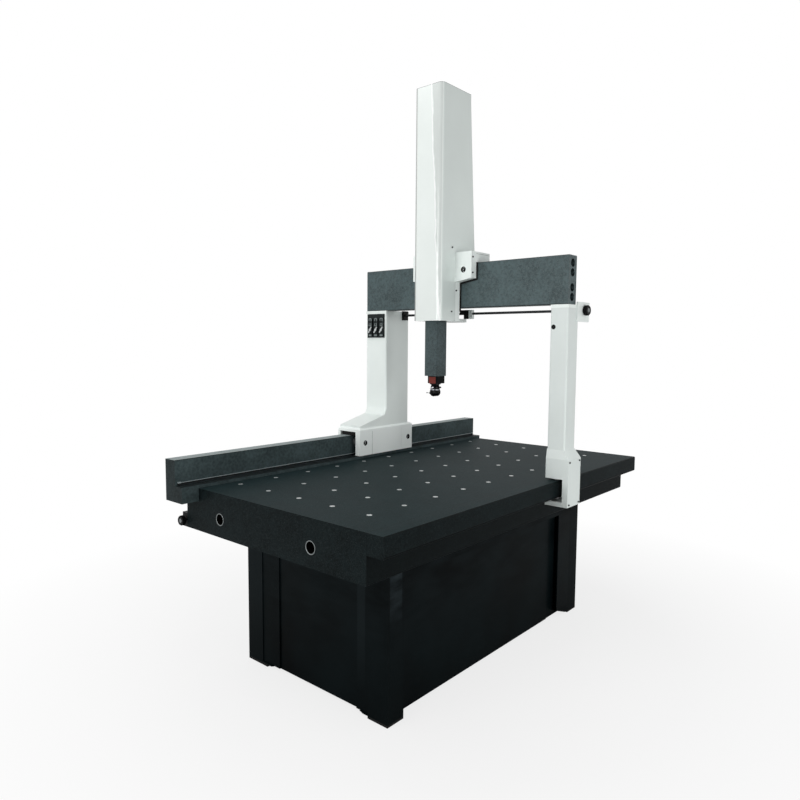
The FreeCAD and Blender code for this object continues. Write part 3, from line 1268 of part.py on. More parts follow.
def make_nodes():
    """Every node, in the order in which the machine is put together."""
    nodes = [floor_pads(), base_feet(), base_posts(), lower_frame(), upper_frame(), door_frames(),
             base_panels(), side_strips(), levelling_jacks(), granite_table(),
             table_inserts(), lifting_bushes(), guide_rail(), rail_bolts(), long_scale(),
             long_rod_bearings(), long_feed_rod(), long_feed_knob(), saddle_ceiling(), saddle_blocks(),
             saddle_side_cover(), feed_arm(), bridge_pads(), left_leg(), leg_top_plates(), right_leg(),
             right_foot(), beam(), cross_scale(), valve_panel(), cross_rod_bearing(),
             cross_rod_bracket(), cross_feed_rod(), cross_feed_knob(), bridge_screws()]
    nodes += [valve_lever(number) for number in range(3)]
    nodes += [carriage_front_plate(), carriage_top_plate(), carriage_rear_plate(),
              carriage_lower_plate(), carriage_pads(), rod_clamp(), column_front_cover(),
              column_rear_cover(), column_top_cap(), column_bottom_plate(), ram_bearings(),
              counterbalance(), read_heads(), carriage_screws(), ram(), ram_seal_cap(), ram_scale(),
              probe_mount(), probe_mount_face(), probe_head(), probe_body(), stylus()]
    return nodes


def write_parts(nodes):
    """Check every object, then write each node's shape to its own file."""
    doc.recompute()
    for thing in doc.Objects:
        if "Invalid" in thing.State or "Error" in thing.State:
            raise RuntimeError(thing.Name + " failed: " + str(thing.State))
    for node in nodes:
        node.Label = node.Name
        if node.Shape.isNull() or not node.Shape.isValid():
            raise RuntimeError(node.Name + " has no valid shape")
    for node in nodes:
        node.Shape.exportStep(os.path.join("parts", node.Label + ".step"))
        box = node.Shape.BoundBox
        print(f"{node.Label:24s} {len(node.Shape.Solids):3d} solids  X {box.XMin:8.1f} {box.XMax:8.1f}"
              f"  Y {box.YMin:8.1f} {box.YMax:8.1f}  Z {box.ZMin:8.1f} {box.ZMax:8.1f}")


fill_sheets()
write_parts(make_nodes())
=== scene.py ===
import math

import bmesh
import bpy
from mathutils import Matrix, Vector


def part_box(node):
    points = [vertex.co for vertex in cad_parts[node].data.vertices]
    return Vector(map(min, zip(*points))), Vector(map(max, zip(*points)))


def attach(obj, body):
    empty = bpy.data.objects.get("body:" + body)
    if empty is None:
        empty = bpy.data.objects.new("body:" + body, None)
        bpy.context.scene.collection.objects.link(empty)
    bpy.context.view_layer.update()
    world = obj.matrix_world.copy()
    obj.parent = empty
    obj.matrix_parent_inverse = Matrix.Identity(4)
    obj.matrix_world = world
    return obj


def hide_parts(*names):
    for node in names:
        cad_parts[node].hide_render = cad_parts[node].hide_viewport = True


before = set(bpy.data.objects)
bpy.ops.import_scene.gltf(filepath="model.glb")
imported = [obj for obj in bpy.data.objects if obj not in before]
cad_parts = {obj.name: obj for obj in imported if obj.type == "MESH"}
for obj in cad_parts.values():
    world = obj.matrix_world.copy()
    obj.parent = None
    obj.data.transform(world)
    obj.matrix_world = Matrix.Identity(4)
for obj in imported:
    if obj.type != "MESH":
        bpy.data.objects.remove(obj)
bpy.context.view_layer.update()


# Viewpoint. The camera stands off the machine's front right corner at eye height.
# Its place, lens and slight lean were solved from the table's grid of threaded inserts.
scene = bpy.context.scene
scene.view_settings.view_transform = "Standard"
camera_spot = (2.0353, -2.6323, 1.4983)
camera_azimuth = math.radians(40.8553)
camera_dip = math.radians(4.9039)
camera_lean = math.radians(0.4006)
camera_lens = 29.8133
viewpoint = bpy.data.objects.new("viewpoint", bpy.data.cameras.new("viewpoint"))
viewpoint.data.lens = camera_lens
viewpoint.data.sensor_width = 36
viewpoint.matrix_world = (
    Matrix.Translation(camera_spot)
    @ Matrix.Rotation(camera_azimuth, 4, "Z")
    @ Matrix.Rotation(math.pi / 2 - camera_dip, 4, "X")
    @ Matrix.Rotation(camera_lean, 4, "Z")
)
scene.collection.objects.link(viewpoint)
scene.camera = viewpoint


# Studio. A pale floor under the machine that turns white further out, a white room, and soft
# lamps at the front, above and low on the right.
class Flow:
    """One output of a node. Maths on it is written as plain Python."""

    def __init__(self, finish, socket):
        self.finish = finish
        self.socket = socket

    def maths(self, operation, first, second=0.0):
        """A Math node on one or two values."""
        return self.finish.node("ShaderNodeMath", {"operation": operation}, {0: first, 1: second})

    def __add__(self, other):
        return self.maths("ADD", self, other)

    def __sub__(self, other):
        return self.maths("SUBTRACT", self, other)

    def __rsub__(self, other):
        return self.maths("SUBTRACT", other, self)

    def __mul__(self, other):
        return self.maths("MULTIPLY", self, other)

    def __gt__(self, limit):
        return self.maths("GREATER_THAN", self, limit)

    def __lt__(self, limit):
        return self.maths("LESS_THAN", self, limit)

    def __abs__(self):
        return self.maths("ABSOLUTE", self)

    __radd__ = __add__
    __rmul__ = __mul__


class Finish:
    """The nodes of one finish, or of the room."""

    def __init__(self, owner):
        self.owner = owner
        owner.use_nodes = True
        self.tree = owner.node_tree
        self.tree.nodes.clear()

    def node(self, kind, settings=None, sockets=None, output=0):
        """Any node: its settings first, then the values or links of its sockets."""
        made = self.tree.nodes.new(kind)
        for name, value in (settings or {}).items():
            if name == "stops":
                ramp = made.color_ramp.elements
                for extra in range(len(value) - len(ramp)):
                    ramp.new(0.5)
                for element, (spot, grey) in zip(ramp, value):
                    element.position = spot
                    element.color = (grey, grey, grey, 1)
            else:
                setattr(made, name, value)
        for name, value in (sockets or {}).items():
            if isinstance(value, Flow):
                self.tree.links.new(value.socket, made.inputs[name])
            else:
                made.inputs[name].default_value = value
        return Flow(self, made.outputs[output]) if made.outputs else made

    def colours(self, factor, first, second):
        """A colour between two colours."""
        ends = [c if isinstance(c, Flow) else (*c, 1) for c in (first, second)]
        return self.node("ShaderNodeMix", {"data_type": "RGBA"}, {0: factor, 6: ends[0], 7: ends[1]}, 2)

    def place(self):
        """Where a point lies on the machine, in metres."""
        return self.node("ShaderNodeTexCoord", output="Object")

    def axes(self, vector):
        """The three numbers of a vector."""
        split = self.node("ShaderNodeSeparateXYZ", {}, {"Vector": vector}).socket.node
        return [Flow(self, output) for output in split.outputs]

    def facing(self):
        """The three numbers of the way a face looks."""
        return self.axes(self.node("ShaderNodeTexCoord", output="Normal"))

    def noise(self, vector, scale, detail=3.0):
        """A cloud of values round 0.5."""
        return self.node("ShaderNodeTexNoise", {}, {"Vector": vector, "Scale": scale, "Detail": detail})

    def spread(self, value, low, high):
        """A value stretched so that low becomes 0 and high becomes 1."""
        return self.node("ShaderNodeMapRange", {}, {"Value": value, "From Min": low, "From Max": high})

    def bump(self, height, distance):
        """A normal bent by a height."""
        return self.node("ShaderNodeBump", {}, {"Strength": 1.0, "Distance": distance, "Height": height})

    def surface(self, sockets):
        """The finish's own shader. Gives back the material."""
        shader = self.node("ShaderNodeBsdfPrincipled", {}, sockets)
        self.node("ShaderNodeOutputMaterial", {}, {"Surface": shader})
        return self.owner


ambient_level = 0.5
room = Finish(bpy.data.worlds.new("room"))
scene.world = room.owner
seen = room.node("ShaderNodeLightPath", output="Is Camera Ray")
seen = seen + room.node("ShaderNodeLightPath", output="Is Glossy Ray")
seen = seen + room.node("ShaderNodeLightPath", output="Is Transmission Ray")
white_air = room.node("ShaderNodeBackground", {}, {
    "Color": (1, 1, 1, 1), "Strength": ambient_level + (seen > 0.5) * (1 - ambient_level)})
room.node("ShaderNodeOutputWorld", {}, {"Surface": white_air})

floor_radius, floor_grey = 30, 0.86
shade_end, white_start, near_whiteness = 1.2, 2.7, 0.78
floor_finish = Finish(bpy.data.materials.new("pale_floor"))
matt_floor = floor_finish.node("ShaderNodeBsdfDiffuse", {}, {
    "Color": (floor_grey, floor_grey, floor_grey, 1)})
white_floor = floor_finish.node("ShaderNodeEmission", {}, {"Color": (1, 1, 1, 1), "Strength": 1})
looked_at = floor_finish.node("ShaderNodeLightPath", output="Is Camera Ray")
ground = floor_finish.place()
distance = floor_finish.node("ShaderNodeVectorMath", {"operation": "LENGTH"}, {0: ground}, "Value")
whiteness = floor_finish.node("ShaderNodeMapRange", {}, {
    "Value": distance, "From Min": shade_end, "From Max": white_start,
    "To Min": near_whiteness, "To Max": 1.0})
floor_mix = floor_finish.node("ShaderNodeMixShader", {}, {
    0: looked_at * whiteness, 1: matt_floor, 2: white_floor})
floor_finish.node("ShaderNodeOutputMaterial", {}, {"Surface": floor_mix})


def new_piece(name, shape, finish):
    """A new mesh object made from a bmesh, with its finish. Edges sharper than 35 degrees show."""
    mesh = bpy.data.meshes.new(name)
    shape.to_mesh(mesh)
    shape.free()
    mesh.shade_smooth()
    mesh.set_sharp_from_angle(angle=math.radians(35))
    mesh.materials.append(finish)
    piece = bpy.data.objects.new(name, mesh)
    scene.collection.objects.link(piece)
    return piece


floor_shape = bmesh.new()
bmesh.ops.create_circle(floor_shape, cap_ends=True, segments=64, radius=floor_radius)
floor = new_piece("studio_floor", floor_shape, floor_finish.owner)


def lamp(name, spot, aim, size, power, spread=180):
    """A soft square lamp that points at a spot."""
    light = bpy.data.lights.new(name, "AREA")
    light.size = size
    light.energy = power
    light.spread = math.radians(spread)
    stand = bpy.data.objects.new(name, light)
    stand.location = spot
    stand.rotation_euler = (Vector(aim) - Vector(spot)).to_track_quat("-Z", "Y").to_euler()
    scene.collection.objects.link(stand)


lamp("front_lamp", (-1.0, -7.0, 1.8), (0, 0, 1.3), 4.0, 175)
lamp("ceiling_lamp", (-0.8, -2.2, 5.0), (0, 0, 1.0), 3.4, 50)
lamp("right_lamp", (4.5, -0.6, 0.9), (0, 0, 0.9), 1.6, 12, 75)


# Steel base. Welded box posts, sills and panels, sprayed with a semi-gloss black enamel that
# shows a slight orange peel and cloudy reflections, some of them painted into its colour. It
# stands on four rubber pads.
def dress(finish, slot, *nodes):
    """A finish on solids that are kept as they are."""
    for name in nodes:
        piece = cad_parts[name]
        piece.data.materials.clear()
        piece.data.materials.append(finish)


def fit(piece, body):
    """A new piece rides on a body."""
    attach(piece, body)


def toned(colour, factor):
    """A colour made darker or paler."""
    return [min(1, part * factor) for part in colour]


def paint(name, colour, roughness, peel, specular, gloss=0.0, wave=0.0, mottle=0.1, seams=(),
          marks=None):
    """Sprayed paint: clouds in its colour, an orange peel, a slow wave on covers, and fine seams
    between parts. A seam is the number of an axis, 0 to 2, and a place on it. The function marks
    may add painted light and shade to the colour."""
    cloud_scale, peel_scale, wave_scales = 2.6, 230.0, (14, 14, 3.2)
    seam_half, seam_strength = 0.0011, 0.7
    coat = Finish(bpy.data.materials.new(name))
    spot = coat.place()
    cloud = coat.noise(spot, cloud_scale, 5.0)
    shade = coat.spread(cloud, 0.3, 0.7)
    tint = coat.colours(shade, toned(colour, 1 - mottle), toned(colour, 1 + mottle))
    along = coat.axes(spot)
    for axis, line in seams:
        gap = abs(along[axis] - line) < seam_half
        tint = coat.colours(gap * seam_strength, tint, toned(colour, 0.2))
    if marks:
        tint = marks(coat, tint)
    height = coat.noise(spot, peel_scale, 2.0) * peel
    if wave:
        stretched = coat.node("ShaderNodeMapping", {}, {"Vector": spot, "Scale": wave_scales})
        height = height + coat.noise(stretched, 1.0, 2.0) * wave
    return coat.surface({
        "Base Color": tint,
        "Roughness": roughness - 0.04 + cloud * 0.08,
        "Specular IOR Level": specular,
        "Coat Weight": gloss,
        "Coat Roughness": 0.08,
        "Normal": coat.bump(height, 1.0),
    })


def enamel_painted_reflections(coat, tint):
    """Painted reflections in the enamel: paler towards the top, one pale strip on the front's left and
    one near its right edge, and a pale patch on the right side by the front corner."""
    # The pale colours here paint reflections in the enamel.
    pale, reflection_patch_tint = (0.0085, 0.0125, 0.0140), (0.022, 0.030, 0.034)
    left_strip_end, right_strip, right_strip_half = -0.385, 0.245, 0.022
    patch_y, patch_half, patch_low, patch_high = -0.748, 0.036, 0.36, 0.60
    spot = coat.place()
    x, y, z = coat.axes(spot)
    rightward, forward = coat.facing()[:2]
    reflection_streaks = coat.node("ShaderNodeMapping", {}, {"Vector": spot, "Scale": (7, 7, 22)})
    reflection_streaks = coat.spread(coat.noise(reflection_streaks, 1.0, 6.0), 0.35, 0.65)
    tint = coat.colours(coat.spread(z, 0.15, 0.75) * reflection_streaks * 0.55, tint, pale)
    front = (forward < -0.95) * coat.spread(z, 0.1, 0.4)
    tint = coat.colours((x < left_strip_end) * front * 0.5, tint, pale)
    tint = coat.colours((abs(x - right_strip) < right_strip_half) * front * 0.7, tint, pale)
    patch = (rightward > 0.95) * (abs(y - patch_y) < patch_half)
    return coat.colours(patch * coat.spread(z, patch_low, patch_high) * reflection_streaks, tint, reflection_patch_tint)


black_enamel = paint("black_enamel", (0.0020, 0.0038, 0.0043), 0.42, 0.0004, 0.030, mottle=0.5,
                     marks=enamel_painted_reflections)
dress(black_enamel, "black_steel", "base_feet", "base_posts", "lower_frame", "upper_frame", "door_frames")
panel_enamel = paint("panel_enamel", (0.0016, 0.0034, 0.0039), 0.36, 0.0003, 0.034, mottle=0.7,
                     marks=enamel_painted_reflections)
dress(panel_enamel, "black_steel", "base_panels", "side_strips")


def moulded(name, colour, roughness, grain=0.0002, scale=700.0, specular=0.4):
    """Moulded rubber or plastic with a fine grain."""
    skin = Finish(bpy.data.materials.new(name))
    spot = skin.place()
    speck = skin.noise(spot, scale, 2.0)
    cloud = skin.noise(spot, 30.0)
    return skin.surface({
        "Base Color": skin.colours(cloud, toned(colour, 0.8), toned(colour, 1.2)),
        "Roughness": roughness - 0.08 + speck * 0.16,
        "Specular IOR Level": specular,
        "Normal": skin.bump(speck, grain),
    })


rubber = moulded("rubber", (0.012, 0.012, 0.012), 0.75, specular=0.1)
dress(rubber, "rubber", "floor_pads")


def metal(name, colour, roughness, scratch, stretch, metallic=1.0):
    """Turned, ground or drawn metal. The marks follow the stretch."""
    bright = Finish(bpy.data.materials.new(name))
    along = bright.node("ShaderNodeMapping", {}, {"Vector": bright.place(), "Scale": stretch})
    marks = bright.noise(along, 1.0, 4.0)
    return bright.surface({
        "Base Color": bright.colours(marks, toned(colour, 0.82), toned(colour, 1.1)),
        "Metallic": metallic,
        "Roughness": roughness - 0.06 + marks * 0.12,
        "Normal": bright.bump(marks, scratch),
    })


zinc_steel = metal("zinc_steel", (0.30, 0.30, 0.29), 0.34, 0.00005, (300, 300, 300))
dress(zinc_steel, "bare_steel", "levelling_jacks")


# Granite table. Fine-grained black-green stone, lapped on top and ground on the sides. A glued
# strip makes the ledge on the right, and its joint shows as a fine line along the top.
def granite(name, dark, fleck, lapped_sheen_tint, lapped_above, lapped_roughness, specular, arris=0.8,
            joint=None, lit_right_tint=None, shadow=None):
    """Speckled stone with dark arrises. Its upward faces above a height are lapped, and their paler tint is
    a painted sheen. A joint is a dark line across X, the right side may have a paler tint of its own
    that paints the light it gets, and a shadow is the height of a ledge with a painted shadow under it."""
    ground_roughness, flat_from, joint_half, shadow_reach = 0.45, 0.95, 0.0011, 0.035
    stone = Finish(bpy.data.materials.new(name))
    spot = stone.place()
    x, z = stone.axes(spot)[::2]
    rightward, forward, upward = stone.facing()
    lapped = (upward > flat_from) * (z > lapped_above)
    flat = (abs(rightward) > flat_from) + (abs(forward) > flat_from) + (abs(upward) > flat_from)
    crystal = stone.node("ShaderNodeTexVoronoi", {}, {"Vector": spot, "Scale": 520.0}, "Color")
    crystal = stone.axes(crystal)[0]
    fleck_stops = [(0.45, 0), (0.78, 0.25), (0.92, 1)]
    flecks = stone.node("ShaderNodeValToRGB", {"stops": fleck_stops}, {"Fac": crystal})
    cloud = stone.noise(spot, 9.0, 6.0) * 0.5 + stone.noise(spot, 75.0, 3.0) * 0.5
    cloud = stone.spread(cloud, 0.38, 0.62)
    body = stone.colours(cloud, toned(dark, 0.62), toned(dark, 1.38))
    body = stone.colours(flecks, body, fleck)
    # The lapped faces' paler tint paints their sheen.
    lapped_sheen_body = stone.colours(cloud, toned(lapped_sheen_tint, 0.9), toned(lapped_sheen_tint, 1.1))
    body = stone.colours(lapped * 0.75, body, lapped_sheen_body)
    # A paler tint on the right side paints the light it gets.
    if lit_right_tint:
        lit_right_body = stone.colours(cloud, toned(lit_right_tint, 0.7), toned(lit_right_tint, 1.3))
        body = stone.colours(rightward > flat_from, body, lit_right_body)
    body = stone.colours((1 - flat) * arris, body, toned(dark, 0.25))
    ground_top = (upward > flat_from) * (z < lapped_above)
    body = stone.colours(ground_top * 0.5, body, toned(dark, 0.3))
    if shadow:
        # Painted shadow: the right side darkens towards the ledge above it.
        under = stone.spread(z, shadow - shadow_reach, shadow) * (z < shadow) * (rightward > flat_from)
        body = stone.colours(under * 0.75, body, toned(dark, 0.15))
    if joint:
        body = stone.colours((abs(x - joint) < joint_half) * 0.55, body, toned(dark, 0.3))
    smoother = lapped_roughness - ground_roughness
    return stone.surface({
        "Base Color": body,
        "Roughness": ground_roughness + lapped * smoother + flecks * -0.08,
        "Specular IOR Level": specular,
        "Normal": stone.bump(stone.noise(spot, 900.0, 1.0), 0.00012),
    })


ledge_width, ledge_height = 0.079, 0.072
table_low, table_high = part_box("granite_table")
# The table's top takes a paler tint that paints its sheen, and a painted shadow darkens its right side under
# the ledge.
table_granite = granite("table_granite", (0.0034, 0.0064, 0.0070), (0.015, 0.021, 0.022),
                        (0.0118, 0.0240, 0.0260), lapped_above=0.85, lapped_roughness=0.58,
                        specular=0.042, arris=0.5, joint=table_high[0] - ledge_width,
                        shadow=table_high[2] - ledge_height)
dress(table_granite, "granite", "granite_table")

insert_steel = metal("insert_steel", (0.62, 0.65, 0.65), 0.3, 0.00003, (400, 400, 400), 0.35)
dress(insert_steel, "bare_steel", "table_inserts")


# Lifting bushes. Steel tubes in the front and rear faces: only the turned rim is bright, and the
# bore is dark. Each rim is a new ring that covers the end of its tube.
dark_steel = metal("dark_steel", (0.014, 0.014, 0.014), 0.45, 0.00004, (300, 300, 300))
dress(dark_steel, "bare_steel", "lifting_bushes", "rail_bolts")


def lathe(shape, centre, axis, profile, steps=40):
    """A turned form: points of radius and distance, spun once round the axis through the centre."""
    axis = Vector(axis)
    side = axis.orthogonal().normalized()
    dots = [shape.verts.new(Vector(centre) + side * radius + axis * along) for radius, along in profile]
    lines = [shape.edges.new(pair) for pair in zip(dots, dots[1:])]
    bmesh.ops.spin(shape, geom=dots + lines, cent=centre, axis=axis, angle=math.tau, steps=steps,
                   use_merge=True)
    bmesh.ops.remove_doubles(shape, verts=shape.verts, dist=0.000001)
    bmesh.ops.recalc_face_normals(shape, faces=shape.faces)


lift_left, lift_span, lift_drop = 0.251, 0.574, 0.112
rim_bore, rim_radius, rim_seat, rim_proud, rim_chamfer = 0.0232, 0.0269, 0.0001, 0.0009, 0.0004
rims = bmesh.new()
for face_y, out in ((table_low[1], -1), (table_high[1], 1)):
    for rim_x in (table_low[0] + lift_left, table_low[0] + lift_left + lift_span):
        lathe(rims, (rim_x, face_y, table_high[2] - lift_drop), (0, out, 0),
              [(rim_bore, rim_seat), (rim_bore, rim_chamfer), (rim_bore + 0.0008, rim_proud),
               (rim_radius - 0.0007, rim_proud), (rim_radius, rim_chamfer), (rim_radius, rim_seat),
               (rim_bore, rim_seat)])
rim_steel = metal("rim_steel", (0.20, 0.22, 0.22), 0.4, 0.00003, (400, 400, 400), 0.6)
fit(new_piece("lifting_bush_rims", rims, rim_steel), "base")


# Guide rail. A granite rail in the table's rebate: its top is finely lapped and painted pale with the
# reflection it shows, and a steel scale runs along its foot with a bright upper edge.
# The rail's right side takes a paler tint that paints the light it gets.
rail_granite = granite("rail_granite", (0.0125, 0.019, 0.020), (0.028, 0.036, 0.037),
                       (0.345, 0.405, 0.405), lapped_above=0.95, lapped_roughness=0.5,
                       specular=0.07, lit_right_tint=(0.050, 0.071, 0.074))
dress(rail_granite, "granite", "guide_rail")


def scale_tape(name, split):
    """A steel scale: the part above a height is polished, the carrier below it is dark."""
    tape = Finish(bpy.data.materials.new(name))
    spot = tape.place()
    upper = tape.axes(spot)[2] > split
    along = tape.node("ShaderNodeMapping", {}, {"Vector": spot, "Scale": (900, 6, 900)})
    marks = tape.noise(along, 1.0, 4.0)
    return tape.surface({
        "Base Color": tape.colours(upper, (0.012, 0.014, 0.015), (0.45, 0.52, 0.53)),
        "Metallic": 0.5,
        "Roughness": 0.26 + marks * 0.12,
        "Normal": tape.bump(marks, 0.00002),
    })


tape_low, tape_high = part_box("long_scale")
carrier_share = 0.62
carrier_top = tape_low[2] + (tape_high[2] - tape_low[2]) * carrier_share
dress(scale_tape("long_tape", carrier_top), "scale_tape", "long_scale")


# Long fine feed. A drawn steel rod beside the table in two black brackets, with a ribbed knob at
# its front end that replaces the plain one.
black_plastic = moulded("black_plastic", (0.0032, 0.0036, 0.0038), 0.45, specular=0.12)
dress(black_plastic, "black_plastic", "long_rod_bearings")
long_rod_steel = metal("long_rod_steel", (0.08, 0.085, 0.09), 0.35, 0.00003, (700, 5, 700))
dress(long_rod_steel, "bare_steel", "long_feed_rod")


def prism(shape, points, depth, bevel=0.0):
    """A flat outline pushed along a vector, with softened edges."""
    ring = [shape.verts.new(point) for point in points]
    grown = bmesh.ops.extrude_face_region(shape, geom=[shape.faces.new(ring)])["geom"]
    far = [part for part in grown if isinstance(part, bmesh.types.BMVert)]
    bmesh.ops.translate(shape, verts=far, vec=depth)
    edges = list(dict.fromkeys(edge for corner in far for edge in corner.link_edges))
    if bevel:
        bmesh.ops.bevel(shape, geom=edges, offset=bevel, segments=2, profile=0.5, affect="EDGES",
                        material=-1)
    bmesh.ops.recalc_face_normals(shape, faces=shape.faces)


def ribbed_knob(name, node, body, start, axis):
    """A moulded knob with a ring of ribs and a dished face, and the steel screw in its middle."""
    low, high = (Vector(corner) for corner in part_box(node))
    axis = Vector(axis)
    length = abs((high - low).dot(axis))
    radius = (high[2] - low[2]) / 2
    rib, rib_root, rib_inset, rib_count = 0.0014, 0.0004, 0.003, 30
    dish, chamfer = 0.0016, 0.002
    knob = bmesh.new()
    lathe(knob, start, axis, [
        (0, 0), (radius * 0.86, 0), (radius - rib, chamfer), (radius - rib, length - chamfer),
        (radius * 0.86, length), (radius * 0.68, length), (radius * 0.6, length - dish),
        (0, length - dish)])
    side = axis.orthogonal().normalized()
    across = axis.cross(side)
    root = side * (radius - rib - rib_root)
    corners = [root - across * rib, root + across * rib, side * radius]
    for number in range(rib_count):
        turn = Matrix.Rotation(math.tau * number / rib_count, 3, axis)
        prism(knob, [start + axis * rib_inset + turn @ corner for corner in corners],
              axis * (length - 2 * rib_inset))
    piece = new_piece(name, knob, black_plastic)
    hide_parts(node)
    fit(piece, body)
    screw_radius, screw_seat, screw_height = radius * 0.42, 0.0001, 0.0014
    screw = bmesh.new()
    lathe(screw, start + axis * (length - dish), axis, [
        (0, screw_seat), (screw_radius, screw_seat), (screw_radius, 0.0008),
        (radius * 0.36, screw_height), (0, screw_height + 0.0001)])
    fit(new_piece(name + "_screw", screw, rim_steel), body)


knob_low, knob_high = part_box("long_feed_knob")
ribbed_knob("long_knob", "long_feed_knob", "long_feed",
            Vector(((knob_low[0] + knob_high[0]) / 2, knob_high[1], (knob_low[2] + knob_high[2]) / 2)),
            (0, -1, 0))


# Saddle. White castings that ride on the rail. Each bearing block carries an adjuster in a black
# cup, with a bright screw in its middle, and black strips in the gap over the rail paint its shade.
white_casting = paint("white_casting", (0.82, 0.88, 0.855), 0.38, 0.0005, 0.4, 0.15, mottle=0.06)
dress(white_casting, "white_casting", "feed_arm")
# A paler copy of the white casting paint paints light on the saddle's castings.
saddle_lit_white = paint("saddle_lit_white", (0.90, 0.955, 0.935), 0.38, 0.0005, 0.4, 0.15, mottle=0.04)
dress(saddle_lit_white, "white_casting", "saddle_ceiling", "saddle_blocks")
block_low, block_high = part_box("saddle_blocks")
front_block = 0.098
cover_paint = paint("cover_paint", (0.90, 0.95, 0.93), 0.3, 0.0003, 0.45, 0.2, mottle=0.04,
                    seams=[(1, block_low[1] + front_block + 0.001)])
dress(cover_paint, "white_cover", "saddle_side_cover")
pad_aluminium = metal("pad_aluminium", (0.55, 0.56, 0.56), 0.32, 0.00003, (200, 200, 200))
dress(pad_aluminium, "aluminium", "bridge_pads")
ceiling_low, ceiling_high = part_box("saddle_ceiling")
rail_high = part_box("guide_rail")[1]
# Black strips front and rear, in the gap between rail and ceiling, paint the shade in it.
shadow_strip_left, shadow_strip_right = ceiling_low[0] + 0.032, block_low[0] - 0.002
shadow_strip_foot, shadow_strip_top = rail_high[2] + 0.0012, ceiling_low[2] - 0.0002
shadow_strip_inset, shadow_strip_depth = 0.001, 0.004
shadow_strips = bmesh.new()
for shadow_strip_y in (ceiling_low[1] + shadow_strip_inset, ceiling_high[1] - shadow_strip_inset - shadow_strip_depth):
    prism(shadow_strips, [(x, shadow_strip_y, z) for x, z in (
        (shadow_strip_left, shadow_strip_foot), (shadow_strip_right, shadow_strip_foot), (shadow_strip_right, shadow_strip_top),
        (shadow_strip_left, shadow_strip_top))], (0, shadow_strip_depth, 0))
fit(new_piece("saddle_shadow_strips", shadow_strips, rubber), "bridge")
matt_black = moulded("matt_black", (0.0022, 0.0026, 0.0028), 0.7, specular=0.02)
adjuster_radius, adjuster_depth = 0.0125, 0.008


def adjuster_cups(name, body, spots, axis):
    """Black cups that line the adjusters' recesses, and the round heads of their screws."""
    inside, outside, lip_radius = adjuster_radius - 0.0012, adjuster_radius - 0.0001, adjuster_radius + 0.0020
    bottom, seat, lip_front = 0.0002 - adjuster_depth, 0.0001, 0.0008
    head_radius, socket_radius, head_back, head_front = 0.0028, 0.0010, -0.0029, -0.0010
    cups = bmesh.new()
    heads = bmesh.new()
    for spot in spots:
        lathe(cups, spot, axis, [
            (inside, bottom), (outside, bottom), (outside, seat), (lip_radius, seat),
            (lip_radius - 0.0002, lip_front), (inside, lip_front), (inside, bottom)])
        lathe(heads, spot, axis, [
            (socket_radius, head_back), (socket_radius, head_front - 0.0004),
            (socket_radius + 0.0003, head_front), (head_radius - 0.0004, head_front),
            (head_radius, head_front - 0.0006), (head_radius, head_back), (socket_radius, head_back)])
    fit(new_piece(name + "_cups", cups, matt_black), body)
    fit(new_piece(name + "_heads", heads, insert_steel), body)


pad_inset, rear_pad_inset, pad_level = 0.043, 0.035, 0.069
adjuster_cups("saddle_adjuster", "bridge", [
    Vector((block_high[0], block_low[1] + pad_inset, block_low[2] + pad_level)),
    Vector((block_high[0], block_high[1] - rear_pad_inset, block_low[2] + pad_level))], (1, 0, 0))


# Legs. White-painted castings: the wide left leg with its toe, and the slim right leg that ends
# in a hook on the table's ledge. A black plug closes the round hole in the right leg.
dress(white_casting, "white_casting", "left_leg", "leg_top_plates", "cross_rod_bracket")
# A darker copy of the white casting paint paints shade on the right leg and foot.
right_leg_shade_white = paint("right_leg_shade_white", (0.68, 0.735, 0.715), 0.38, 0.0005, 0.4, 0.15, mottle=0.06)
dress(right_leg_shade_white, "white_casting", "right_leg", "right_foot")
leg_low, leg_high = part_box("right_leg")
plug_side, plug_drop = 0.017, 0.088
stem_radius, stem_depth, flange_radius, flange_front = 0.0098, 0.005, 0.0112, 0.0009
plug = bmesh.new()
lathe(plug, (leg_low[0] + plug_side, leg_low[1], leg_high[2] - plug_drop), (0, -1, 0), [
    (stem_radius, -stem_depth), (stem_radius, 0.0001), (flange_radius, 0.0001),
    (flange_radius - 0.0004, flange_front), (0.0080, flange_front + 0.0003), (0.0070, 0.0004),
    (0, 0.0004)])
fit(new_piece("leg_plug", plug, black_plastic), "bridge")
dress(dark_steel, "bare_steel", "bridge_screws")


# Beam. Solid granite like the rail's, but greener and paler. It lies on the legs' top plates and
# is screwed to them, and a steel scale is glued to its rear face.
beam_granite = granite("beam_granite", (0.053, 0.080, 0.084), (0.092, 0.120, 0.124),
                       (0.10, 0.13, 0.135), lapped_above=1.9, lapped_roughness=0.3, specular=0.2)
dress(beam_granite, "granite", "beam")
dress(scale_tape("cross_tape", 0), "scale_tape", "cross_scale")


# Air valves. Three valves on a black panel under the beam's left end: each has a grey cast face
# with dark buttons, and a bright lever that turns.
panel_plastic = moulded("panel_plastic", (0.012, 0.016, 0.0165), 0.45, specular=0.12)
dress(panel_plastic, "black_plastic", "valve_panel")
valve_grey = moulded("valve_grey", (0.16, 0.19, 0.19), 0.4, specular=0.3)
lever_steel = metal("lever_steel", (0.55, 0.58, 0.58), 0.3, 0.00003, (400, 400, 400), 0.5)
valve_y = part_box("valve_panel")[0][1] + 0.004
face_depth, face_bevel, button_radius, button_height = 0.002, 0.0005, 0.0042, 0.0016
half_face = [(0.0105, 0.022), (0.009, 0.034), (0.009, 0.046), (0.011, 0.052), (0.011, 0.064),
             (0.004, 0.067)]
face_outline = half_face + [(-x, z) for x, z in reversed(half_face)]
foot_outline = [(0.0105, -0.026), (0.0105, -0.036), (-0.0105, -0.036), (-0.0105, -0.026)]
faces = bmesh.new()
buttons = bmesh.new()
